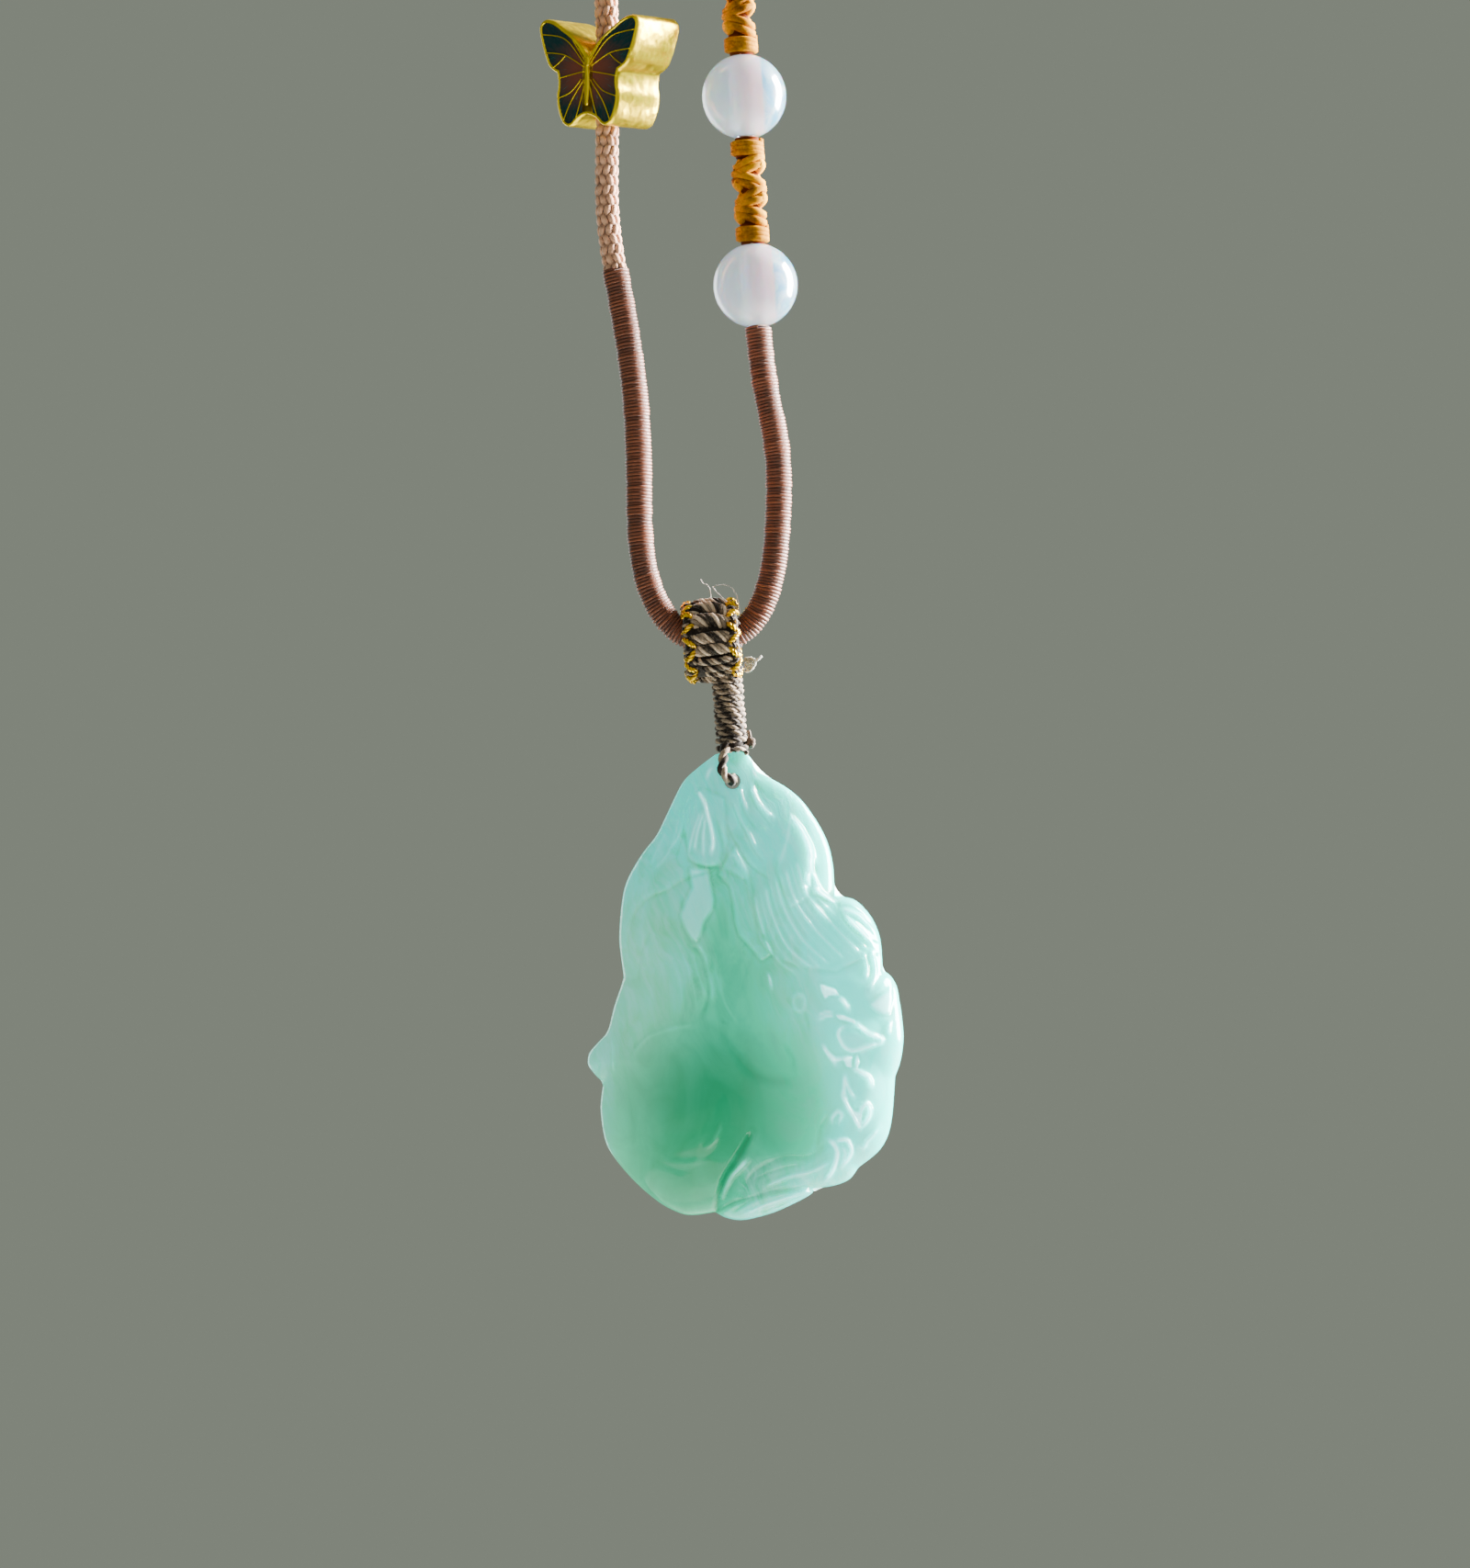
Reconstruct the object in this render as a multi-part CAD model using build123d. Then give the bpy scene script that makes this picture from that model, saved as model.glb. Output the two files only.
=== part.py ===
from build123d import *
import math
import os

# Jade fox pendant: a carved jade stone on a corded necklace, stored hanging from a thin peg.
# Millimetres, +Z up. The origin is under the top of the loop, where it hangs on the peg.
# The carved face looks along -Y. The drop swings about the cord that its bail is looped over.

# Necklace
hang_height = 294.0       # from the peg down to the cord's axis inside the bail
braid_size = 2.35         # diameter of the plain braided cord
wrap_size = 2.55          # diameter where the cord is wound over with fine thread
knotted_size = 3.4        # diameter of the orange knotted cord
peg_bend = 3.9            # radius of the cord's axis where it turns over the peg
bail_bend = 5.5           # radius of the cord's axis where it turns through the bail

# Closing sleeve
sleeve_length = 9.0
sleeve_wall = 0.75
socket_depth = 3.0        # by which each cord goes into the sleeve

# Beads
bead_size = 8.0
core_size = 1.5           # thread bundle that runs through both beads
lower_bead = (6.5, 33.2)  # centre, to the right of and over the bail's axis
upper_bead = (6.8, 51.1)
knot_count = 6            # knots between the two beads

# Butterfly bead
fly_width = 12.6
fly_height = 10.2
fly_depth = 6.1
fly_place = (-5.83, 54.25) # centre, beside and over the bail's axis, on the left strand
fly_turn = -40.0          # degrees about the cord
fly_tip = 5.0             # degrees that it leans forward
fly_rim = 0.35            # gold left standing round each enamel field
fly_spine = 0.95          # gold strip along the insect's body
enamel_depth = 0.35
fly_lip = 0.12            # step round both faces of the gold body

# Bail, stem and thread
bail_width = 5.6
bail_height = 8.0         # from top to bottom, across the cord
bail_depth = 7.0          # from front to back
bail_shift = -0.25        # middle of the bail, to the left of the pivot
edging_width = 1.2        # gold edging on each side of the bail
edging_inset = 0.25       # by which the gold edging is smaller than the knotted rows
row_size = 1.25           # height of one knotted row
stem_size = 3.1
stem_shift = 0.95         # axis of the stem, to the right of the pivot
stem_turns = 11
stem_turn_pitch = 0.55
thread_size = 0.9
nub_size = 0.95           # melted thread ends
nub_drop = 2.75           # upper nub, below the bail's axis

# Jade
jade_width = 29.95
jade_height = 44.5
jade_front = 5.2          # height of the carved face over the stone's rim, at the middle
back_low = 3.6            # depth of the flat back behind the rim, at the bottom
back_high = 1.3           # and at the top, where the stone is thin
top_share = 0.42          # share of the face's height that is left at the top
jade_rim = 3.4            # width over which the face rounds down to the rim
jade_lean = 4.4           # degrees by which the carving's upright leans over to the right
hole_size = 1.5
hole_drop = 13.4          # from the bail's axis down to the hole
hole_shift = 0.73
hole_place = (0.457, 0.0635)   # share of the width and of the height, from the top left
relief = 1.0              # height of a usual carved step
columns, rows = 46, 70    # facets across and down the carved face
back_rings = 4            # bands of facets that round the back of the rim

# Clearances
gap = 0.08                # between pieces that rest against each other
running = 0.18            # between the bail and the cord that it swings on

pivot_z = -hang_height

# Outline of the stone: smooth stretches between its notches, clockwise from the top,
# as shares of its width (to the right) and of its height (downwards).
outline = {
    "crown": [(0.403, 0.012), (0.44, 0.003), (0.475, 0.001), (0.497, 0.0075), (0.514, 0.021),
              (0.521, 0.037), (0.535, 0.043)],
    "shoulder": [(0.535, 0.043), (0.622, 0.075), (0.673, 0.103), (0.709, 0.134), (0.74, 0.168),
                 (0.763, 0.205), (0.776, 0.25), (0.78, 0.309)],
    "knob": [(0.78, 0.309), (0.827, 0.3125), (0.858, 0.3236), (0.894, 0.351), (0.919, 0.386),
             (0.928, 0.42), (0.932, 0.468)],
    "brow": [(0.932, 0.468), (0.955, 0.477), (0.976, 0.5), (0.985, 0.531), (0.994, 0.572),
             (0.998, 0.613), (0.989, 0.658), (0.971, 0.693)],
    "muzzle": [(0.971, 0.693), (0.967, 0.738), (0.96, 0.786), (0.945, 0.824), (0.914, 0.855),
               (0.855, 0.886)],
    "chin": [(0.855, 0.886), (0.827, 0.911), (0.776, 0.925), (0.709, 0.93)],
    "tail_tip": [(0.709, 0.93), (0.705, 0.943), (0.622, 0.972), (0.56, 0.9875), (0.489, 0.998),
                 (0.437, 0.993), (0.403, 0.981)],
    "ball": [(0.403, 0.981), (0.33, 0.9875), (0.283, 0.981), (0.222, 0.9585), (0.15, 0.917),
             (0.088, 0.869), (0.056, 0.831), (0.042, 0.779), (0.041, 0.745), (0.05, 0.702)],
    "nub": [(0.05, 0.702), (0.032, 0.695), (0.004, 0.672), (0.0, 0.658), (0.006, 0.641),
            (0.032, 0.62), (0.056, 0.603), (0.068, 0.586)],
    "haunch": [(0.068, 0.586), (0.083, 0.544), (0.1, 0.51), (0.114, 0.482)],
    "flank": [(0.114, 0.482), (0.104, 0.434), (0.099, 0.393), (0.107, 0.324), (0.124, 0.275),
              (0.17, 0.22), (0.217, 0.179), (0.253, 0.13), (0.299, 0.068), (0.345, 0.037),
              (0.403, 0.012)],
}
patch_corners = [(0.403, 0.012), (0.535, 0.043), (0.622, 0.972), (0.222, 0.9585)]

# Carved fields: rise as a share of the relief, softness of the edge as a share of the width,
# and the field's outline in the same shares as above.
fields = {
    "crown_mass": (0.5, 0.03, [(0.4, -0.05), (0.6, -0.05), (0.9, 0.2), (0.8, 0.31), (0.7, 0.3), (0.6, 0.3),
                               (0.5, 0.27), (0.42, 0.25), (0.32, 0.262), (0.244, 0.294), (0.19, 0.311),
                               (0.153, 0.335), (0.13, 0.4), (0.0, 0.4), (0.0, 0.2)]),
    "lobe": (0.35, 0.02, [(0.3, 0.13), (0.36, 0.08), (0.43, 0.1), (0.445, 0.19), (0.43, 0.235),
                          (0.405, 0.249), (0.36, 0.249), (0.31, 0.228)]),
    "drop_leaf": (0.6, 0.022, [(0.325, 0.24), (0.385, 0.24), (0.395, 0.29), (0.402, 0.33), (0.37, 0.365),
                               (0.352, 0.402), (0.337, 0.403), (0.31, 0.375), (0.296, 0.345),
                               (0.322, 0.31), (0.335, 0.285)]),
    "tress": (0.55, 0.022, [(0.455, 0.27), (0.53, 0.26), (0.53, 0.3), (0.525, 0.35), (0.54, 0.4),
                            (0.575, 0.445), (0.55, 0.447), (0.505, 0.42), (0.475, 0.385),
                            (0.461, 0.33)]),
    "mane": (0.45, 0.025, [(0.53, 0.2), (0.7, 0.27), (0.8, 0.32), (0.9, 0.4), (0.9, 0.46), (0.76, 0.46),
                           (0.68, 0.45), (0.6, 0.44), (0.545, 0.4), (0.527, 0.34)]),
    "ear": (0.4, 0.02, [(0.64, 0.135), (0.68, 0.165), (0.705, 0.2), (0.71, 0.25), (0.695, 0.31),
                        (0.64, 0.33), (0.595, 0.25), (0.625, 0.195)]),
    "knob": (0.45, 0.02, [(0.79, 0.3), (0.95, 0.33), (0.94, 0.41), (0.88, 0.4), (0.81, 0.355)]),
    "neck_fold": (0.55, 0.025, [(0.359, 0.5645), (0.44, 0.605), (0.5, 0.665), (0.56, 0.69), (0.66, 0.697),
                                (0.72, 0.66), (0.66, 0.5), (0.56, 0.45), (0.47, 0.43), (0.385, 0.48)]),
    "cheek": (0.5, 0.05, [(0.72, 0.47), (0.93, 0.47), (1.05, 0.6), (0.99, 0.7), (0.9, 0.86), (0.78, 0.86),
                          (0.74, 0.75), (0.7, 0.62)]),
    "tail_sweep": (0.6, 0.028, [(0.52, 0.8), (0.47, 0.865), (0.43, 0.93), (0.4, 1.02), (0.62, 1.02),
                                (0.78, 0.92), (0.83, 0.86), (0.76, 0.82), (0.68, 0.86), (0.6, 0.855)]),
    "tail_end": (0.45, 0.02, [(0.4, 0.985), (0.46, 0.96), (0.58, 0.935), (0.7, 0.925), (0.75, 0.93),
                              (0.6, 1.05), (0.42, 1.05)]),
    "nub": (-0.5, 0.03, [(0.062, 0.6), (0.07, 0.66), (0.075, 0.71), (-0.1, 0.75), (-0.1, 0.55)]),
}

# Round bosses: middle in shares, radii as shares of the width, rise as a share of the relief.
bosses = {
    "ball": (0.3, 0.772, 0.262, 0.275, 1.5),
    "ball_disc": (0.3, 0.765, 0.15, 0.155, 0.35),
    "haunch": (0.22, 0.46, 0.17, 0.27, 0.6),
    "brow_bump": (0.83, 0.6, 0.1, 0.07, 0.45),
    "muzzle_bump": (0.87, 0.72, 0.07, 0.1, 0.4),
}

# Wide grooves and ridges: half width as a share of the width, rise as a share of the relief
# (cut when negative), and the line in shares.
lines = {
    "haunch_groove": (0.014, -0.55, [(0.345, 0.41), (0.364, 0.445), (0.373, 0.477), (0.378, 0.51),
                                     (0.366, 0.55), (0.356, 0.563)]),
    "neck_groove": (0.014, -0.5, [(0.356, 0.563), (0.44, 0.607), (0.5, 0.665), (0.56, 0.69),
                                  (0.66, 0.697)]),
    "ball_crease": (0.015, -0.6, [(0.52, 0.8), (0.47, 0.865), (0.435, 0.905), (0.41, 0.96),
                                  (0.4, 0.99)]),
    "brow_groove": (0.013, -0.4, [(0.7, 0.29), (0.74, 0.312), (0.79, 0.33), (0.82, 0.37), (0.88, 0.4)]),
    "ball_ridge": (0.014, 0.35, [(0.147, 0.642), (0.181, 0.61), (0.221, 0.596), (0.27, 0.585),
                                 (0.33, 0.58)]),
    "crescent": (0.013, 0.4, [(0.36, 0.84), (0.4, 0.815), (0.425, 0.78)]),
    "tail_line": (0.013, -0.4, [(0.49, 0.955), (0.5, 0.92), (0.54, 0.885), (0.62, 0.862), (0.7, 0.86),
                                (0.76, 0.825)]),
}


def smooth_line(points, steps):
    """Points along a smooth curve through all the given ones, without its last point."""
    ends = [points[0]] + points + [points[-1]]
    found = []
    for k in range(1, len(ends) - 2):
        before, here, there, after = ends[k - 1:k + 3]
        for step in range(steps):
            t = step / steps
            found.append(tuple(
                0.5 * (2 * b + (c - a) * t + (2 * a - 5 * b + 4 * c - d) * t ** 2
                       + (3 * b - a - 3 * c + d) * t ** 3)
                for a, b, c, d in zip(before, here, there, after)))
    return found


def to_size(point):
    """A point of the stone's face in millimetres, from its left edge and up from its bottom."""
    return point[0] * jade_width, (1 - point[1]) * jade_height


def near_segment(point, start, end):
    """Distance from a point to a straight stretch."""
    dx, dy = end[0] - start[0], end[1] - start[1]
    square = dx * dx + dy * dy
    along = 0 if square == 0 else ((point[0] - start[0]) * dx + (point[1] - start[1]) * dy) / square
    along = min(1, max(0, along))
    return math.hypot(point[0] - start[0] - along * dx, point[1] - start[1] - along * dy)


def near_line(point, line):
    return min(near_segment(point, line[k], line[k + 1]) for k in range(len(line) - 1))


def inside(point, ring):
    """True where a point lies within a closed ring."""
    crossings = 0
    for start, end in zip(ring, ring[1:] + ring[:1]):
        if (start[1] > point[1]) != (end[1] > point[1]):
            share = (point[1] - start[1]) / (end[1] - start[1])
            crossings += point[0] < start[0] + share * (end[0] - start[0])
    return crossings % 2 == 1


def ease(value):
    value = min(1, max(0, value))
    return value * value * (3 - 2 * value)


rim_line = [to_size(p) for stretch in outline.values() for p in smooth_line(stretch, 6)]
rim_loop = rim_line + rim_line[:1]
field_shapes = [(rise * relief, soft * jade_width, [to_size(p) for p in shape])
                for rise, soft, shape in fields.values()]
line_shapes = [(half * jade_width, rise * relief, [to_size(p) for p in smooth_line(shape, 3) + shape[-1:]])
               for half, rise, shape in lines.values()]


def carved_height(point):
    """Height of the carved face over the rim, at a point of the face."""
    depth = near_line(point, rim_loop)
    rounding = math.sqrt(1 - (1 - min(depth / jade_rim, 1)) ** 2)
    crown = 0.62 + 0.38 * ease(depth / (0.4 * jade_width))
    carving = 0.0
    for rise, soft, ring in field_shapes:
        edge = near_line(point, ring + ring[:1])
        carving += rise * ease(0.5 + (edge if inside(point, ring) else -edge) / soft)
    for across, down, wide, high, rise in bosses.values():
        middle = to_size((across, down))
        reach = math.hypot((point[0] - middle[0]) / wide, (point[1] - middle[1]) / high) / jade_width
        carving += rise * relief * math.sqrt(1 - reach ** 2) if reach < 1 else 0
    for half, rise, line in line_shapes:
        carving += rise * math.exp(-(near_line(point, line) / half) ** 2)
    fall = 1 - point[1] / jade_height
    thin = top_share + (1 - top_share) * ease(fall / 0.33)
    level = (jade_front - 1.5 * relief) * crown * thin
    return max(0.3 * level, level + carving * thin) * rounding


def back_depth(z):
    """Depth of the flat back behind the rim, which lies a little aslant."""
    return back_low + (back_high - back_low) * z / jade_height


def spread(count):
    """Shares from 0 to 1, closer together at both ends."""
    return [0.45 * k / count + 0.275 * (1 - math.cos(math.pi * k / count)) for k in range(count + 1)]


def side_points(first, last, shares):
    """Points along the rim from one patch corner to another, at shares of its length."""
    path = [rim_line[(first + k) % len(rim_line)] for k in range((last - first) % len(rim_line) + 1)]
    reach = [0.0]
    for k in range(1, len(path)):
        reach.append(reach[-1] + math.dist(path[k], path[k - 1]))
    found = []
    for share in shares:
        wanted = share * reach[-1]
        k = max(1, next((n for n in range(len(reach)) if reach[n] >= wanted - 1e-9), len(reach) - 1))
        t = (wanted - reach[k - 1]) / (reach[k] - reach[k - 1])
        found.append(tuple(a + t * (b - a) for a, b in zip(path[k - 1], path[k])))
    return found


def face_net():
    """A net of points over the whole face, rows from top to bottom, columns from left to right."""
    marks = [min(range(len(rim_line)), key=lambda k: math.dist(rim_line[k], to_size(corner)))
             for corner in patch_corners]
    across, down = spread(columns), spread(rows)
    top = side_points(marks[0], marks[1], across)
    right = side_points(marks[1], marks[2], down)
    bottom = side_points(marks[2], marks[3], across)[::-1]
    left = side_points(marks[3], marks[0], down)[::-1]
    net = [[None] * (columns + 1) for _ in range(rows + 1)]
    for i, t in enumerate(down):
        for j, s in enumerate(across):
            net[i][j] = tuple(
                (1 - t) * top[j][k] + t * bottom[j][k] + (1 - s) * left[i][k] + s * right[i][k]
                - (1 - s) * (1 - t) * top[0][k] - s * (1 - t) * top[-1][k]
                - (1 - s) * t * bottom[0][k] - s * t * bottom[-1][k]
                for k in (0, 1))
    for _ in range(12):
        net = [[net[i][j] if i in (0, rows) or j in (0, columns) else tuple(
            (net[i - 1][j][k] + net[i + 1][j][k] + net[i][j - 1][k] + net[i][j + 1][k]) / 4
            for k in (0, 1)) for j in range(columns + 1)] for i in range(rows + 1)]
    return net


def jade_stone():
    """The carved stone as one faceted solid, in its own axes: left edge and bottom at zero."""
    net = face_net()
    front, back = {}, {}
    for i in range(rows + 1):
        for j in range(columns + 1):
            ring = min(i, j, rows - i, columns - j)
            x, z = net[i][j]
            front[i, j] = Vector(x, -carved_height((x, z)) if ring else 0, z)
            round_back = math.sqrt(1 - (1 - min(ring / back_rings, 1)) ** 2)
            back[i, j] = Vector(x, back_depth(z) * round_back, z) if ring else front[i, j]
    panes = []

    def pane(*corners):
        panes.append(Face(Wire.make_polygon(corners, close=True)))

    def pane_pair(a, b, c, d, from_b):
        pane(*((a, b, d) if from_b else (a, b, c)))
        pane(*((b, c, d) if from_b else (a, c, d)))

    for i in range(rows):
        for j in range(columns):
            cell = [(i, j), (i, j + 1), (i + 1, j + 1), (i + 1, j)]
            a, b, c, d = [front[n] for n in cell]
            # Two corners of the net have both ends of their usual diagonal on the rim.
            corner = (i, j) in ((0, columns - 1), (rows - 1, 0))
            pane_pair(a, b, c, d, corner or abs(a.Y - c.Y) >= abs(b.Y - d.Y))
            if min(i, j, rows - 1 - i, columns - 1 - j) < back_rings:
                pane_pair(*[back[n] for n in cell], corner)
    low, high_row, high_column = back_rings, rows - back_rings, columns - back_rings
    loop = [(low, j) for j in range(low, high_column)]
    loop += [(i, high_column) for i in range(low, high_row)]
    loop += [(high_row, j) for j in range(high_column, low, -1)]
    loop += [(i, low) for i in range(high_row, low, -1)]
    pane(*[back[n] for n in loop])
    return Solid(Shell(panes))


def placed_jade():
    """The stone with its hole, hung from the hole, with its centre of mass under the bail's axis."""
    hole_x, hole_z = to_size(hole_place)
    stone = jade_stone()
    stone = stone - Pos(hole_x, 0, hole_z) * Rot(90, 0, 0) * Cylinder(hole_size / 2, 4 * jade_front)
    stone = Pos(hole_shift, 0, pivot_z - hole_drop) * Rot(0, jade_lean, 0) * Pos(-hole_x, 0, -hole_z) * stone
    return Pos(0, -stone.center(CenterOf.MASS).Y, 0) * stone


def stone_shift(stone):
    """Where the placed stone's rim lies, behind the bail's axis."""
    lean = math.radians(jade_lean)
    farthest = stone.vertices().sort_by(Axis.Y)[-1]
    dx, dz = farthest.X - hole_shift, farthest.Z - pivot_z + hole_drop
    return farthest.Y - back_depth(to_size(hole_place)[1] + dx * math.sin(lean) + dz * math.cos(lean))


def on_face(x, below_bail):
    """Height of the carved face at a place beside and below the bail's axis."""
    lean = math.radians(jade_lean)
    hole_x, hole_z = to_size(hole_place)
    dx, dz = x - hole_shift, hole_drop - below_bail
    along_face = hole_x + dx * math.cos(lean) - dz * math.sin(lean)
    return carved_height((along_face, hole_z + dx * math.sin(lean) + dz * math.cos(lean)))


def cord_path(points, name):
    """Straight runs and tangent arcs through a cord's route, each arc as large as its runs allow."""
    route = [Vector(x, 0, z) for x, z in points]
    radii = []
    for before, here, after in zip(route, route[1:], route[2:]):
        turn = math.radians((here - before).get_angle(after - here))
        shorter = min((here - before).length, (after - here).length)
        radii.append(0.45 * shorter / math.tan(turn / 2))
    print(name, "radii", [round(r, 1) for r in radii])
    return FilletPolyline(*route, radius=radii)


def cord(points, size, name):
    """A round cord along its route, with its length and volume printed."""
    path = cord_path(points, name)
    tube = sweep(Plane(origin=path @ 0, z_dir=path % 0) * Circle(size / 2), path=path)
    share = tube.volume / path.length / (math.pi * size ** 2 / 4)
    print(name, "length", round(path.length, 2), "volume share", round(share, 4))
    return tube


def over_bail(point):
    """A point given beside and over the bail's axis, in the part's own frame."""
    return point[0], pivot_z + point[1]


def under_top(points):
    """Points given to the right of the middle, and down from the top as a share of the hang."""
    return [(x, share * pivot_z) for x, share in points]


def along(start, end, distance):
    """The point at a distance from start, on the way to end."""
    share = distance / math.dist(start, end)
    return tuple(a + share * (b - a) for a, b in zip(start, end))


def aligned(start, end):
    """A plane at start whose normal points to end, for pieces that are threaded on a strand."""
    normal = (end[0] - start[0], 0, end[1] - start[1])
    return Plane(origin=(start[0], 0, start[1]), x_dir=(0, -1, 0), z_dir=normal)


lower_centre, upper_centre = over_bail(lower_bead), over_bail(upper_bead)
bead_bore = core_size + 2 * running
# From a bead's centre to the end of what is threaded next to it.
bead_face = math.sqrt((bead_size / 2) ** 2 - (bead_bore / 2) ** 2) + gap
lower_exit = along(lower_centre, upper_centre, -bead_face)
upper_exit = along(upper_centre, lower_centre, -bead_face)

# Routes of the cords. Their lower stops go up and down with the bail, the stops of the long
# straight strands keep their share of the height, and the highest stay with the peg.
# The wrapped cord runs from the lower bead down through the bail and up on the left.
wrap_route = [lower_exit] + [over_bail(p) for p in [
    (6.5, 24.2), (7.5, 17.6), (7.0, 11.0), (5.9, 5.0), (3.6, 0.9), (0.2, -0.2), (-3.4, 0.8),
    (-5.75, 4.8), (-6.35, 10.2), (-5.7, 18.0), (-5.62, 26.9), (-6.63, 35.7)]]
# The braided cord goes on from there, over the peg and down into the closing sleeve.
peg_top = braid_size / 2
peg_corner = peg_bend * math.tan(math.pi / 8)
peg_route = [(-peg_bend, peg_top - peg_bend + peg_corner), (-peg_corner, peg_top),
             (peg_corner, peg_top), (peg_bend, peg_top - peg_bend + peg_corner)]
sleeve_top, sleeve_line = (4.1, -12.0), (4.0, -6.8)
sleeve_bottom = along(sleeve_top, sleeve_line, -sleeve_length)
braid_route = (wrap_route[-1:] + [over_bail(p) for p in [(-7.124, 40.0), (-6.5, 47.5), (-5.5, 58.0)]]
               + under_top([(-5.35, 0.74), (-5.3, 0.64), (-5.1, 0.475), (-4.75, 0.305), (-4.35, 0.15),
                            (-4.1, 0.07)])
               + [(-3.98, -7.5)] + peg_route
               + [sleeve_line, along(sleeve_top, sleeve_line, -socket_depth)])
# The orange knotted cord hangs from the sleeve down to the upper bead.
knotted_route = ([upper_exit] + [over_bail(p) for p in [(6.9, 60.0), (6.75, 66.0), (6.5, 79.0)]]
                 + under_top([(6.25, 0.645), (5.9, 0.51), (5.45, 0.355), (5.0, 0.22)])
                 + [along(sleeve_bottom, sleeve_line, -14.6),
                    along(sleeve_bottom, sleeve_line, socket_depth)])


def bead(centre, beyond):
    """A round bead, drilled along its strand."""
    place = aligned(centre, beyond)
    return place * (Sphere(bead_size / 2) - Cylinder(bead_bore / 2, 2 * bead_size))


def core_thread(centre, beyond):
    return aligned(centre, beyond) * Cylinder(core_size / 2, 2 * bead_face)


def ringed_rod(waist, swell, pitch, count, length):
    """A round rod that stands on its end, with rounded rings round its lower part."""
    edge = [(0, 0)]
    for k in range(count):
        edge += [((k + share) * pitch, waist + bulge * (swell - waist))
                 for share, bulge in ((0, 0), (0.14, 0.62), (0.36, 1), (0.64, 1), (0.86, 0.62))]
    edge = [edge[0]] + [(radius, height) for height, radius in edge[1:]]
    edge += [(waist, count * pitch)]
    if length > count * pitch + gap:
        edge += [(waist, length)]
    edge += [(0, edge[-1][1])]
    return revolve(Plane.XZ * make_face(Polyline(*edge, close=True)), Axis.Z)


def knotted_link():
    """The short knotted cord between the two beads: a row of round knots."""
    length = math.dist(lower_centre, upper_centre) - 2 * bead_face
    pitch = length / knot_count
    waist, swell = knotted_size / 2 - 0.35, knotted_size / 2
    start = along(lower_centre, upper_centre, bead_face)
    return aligned(start, upper_centre) * ringed_rod(waist, swell, pitch, knot_count, length)


def closing_sleeve():
    """A plain barrel into which both cords go."""
    outer = knotted_size / 2 + gap + sleeve_wall
    barrel = Cylinder(outer, sleeve_length, align=(Align.CENTER, Align.CENTER, Align.MIN))
    barrel = fillet(barrel.edges().filter_by(GeomType.CIRCLE), 0.45)
    deep = socket_depth + gap
    barrel -= Cylinder(knotted_size / 2 + gap, deep, align=(Align.CENTER, Align.CENTER, Align.MIN))
    barrel -= Pos(0, 0, sleeve_length) * Cylinder(
        braid_size / 2 + gap, deep, align=(Align.CENTER, Align.CENTER, Align.MAX))
    return aligned(sleeve_bottom, sleeve_top) * barrel


# Outline of the right half of the butterfly, as shares of half its width and half its height.
# Each arc runs through three points in a row, and the next one starts where it ends.
half_outline = [
    (0.0, 0.27), (0.28, 0.64), (0.5, 0.81), (0.675, 0.94), (0.85, 1.0), (0.958, 0.94), (0.996, 0.79),
    (0.93, 0.5), (0.807, 0.148), (0.72, 0.055), (0.63, 0.0), (0.6, -0.148), (0.625, -0.37),
    (0.59, -0.704), (0.5, -0.93), (0.395, -1.0), (0.263, -0.965), (0.12, -0.83), (0.0, -0.79)]


def fly_outline():
    points = [(x * fly_width / 2, z * fly_height / 2) for x, z in half_outline]
    half = [ThreePointArc(*points[k:k + 3]) for k in range(0, len(points) - 2, 2)]
    return make_face(half + [mirror(edge, Plane.YZ) for edge in half])


def fly_fields(inset):
    """The four enamel fields of one face, on both sides of the spine, as one sketch."""
    field = offset(fly_outline(), -inset)
    spine = Rectangle(fly_spine + 2 * (inset - fly_rim), 2 * fly_height)
    return field - spine


def fly_place_at(piece):
    """Turn a piece of the butterfly about its strand and set it on the cord."""
    lean = math.degrees(math.atan2(1.0, 10.5))
    x, z = over_bail(fly_place)
    return Pos(x, 0, z) * Rot(0, lean, 0) * Rot(fly_tip, 0, 0) * Rot(0, 0, fly_turn) * piece


def butterfly():
    """The gold body with its pockets, and the enamel that lies in them."""
    body = extrude(Plane.XZ * fly_outline(), fly_depth / 2 - fly_lip, both=True)
    body += extrude(Plane.XZ * offset(fly_outline(), -fly_lip), fly_depth / 2, both=True)
    enamel = {}
    for side, sign in (("front", -1), ("back", 1)):
        face = Plane.XZ.offset(-sign * fly_depth / 2)
        body -= extrude(face * fly_fields(fly_rim), sign * enamel_depth, both=False)
        plates = extrude(face * fly_fields(fly_rim + gap / 2), sign * (enamel_depth - gap), both=False)
        for half, plate in zip(("left", "right"), plates.solids().sort_by(Axis.X)):
            enamel["enamel_" + side + "_" + half] = plate
    return body, enamel


def bail_bore():
    """Room for the cord, which turns upwards on both sides: it widens from the middle outwards."""
    reach = bail_width / 2 + abs(bail_shift) + 0.5
    edge = []
    for k in range(-4, 5):
        x = reach * k / 4
        rise = bail_bend - math.sqrt(bail_bend ** 2 - x ** 2)
        slant = math.sqrt(1 - (x / bail_bend) ** 2)
        edge.append((x, rise + wrap_size / 2 / slant + running))
    profile = make_face(Polyline((-reach, 0), *edge, (reach, 0), close=True))
    return Pos(0, 0, pivot_z) * revolve(Plane.XZ * profile, Axis.X)


def bail_band(width, middle, inset):
    """A band of the bail round the cord: an oval seen from the side."""
    oval = Plane.YZ * Ellipse(bail_depth / 2 - inset, bail_height / 2 - inset)
    return Pos(middle, 0, pivot_z) * extrude(oval, width / 2, both=True)


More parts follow.
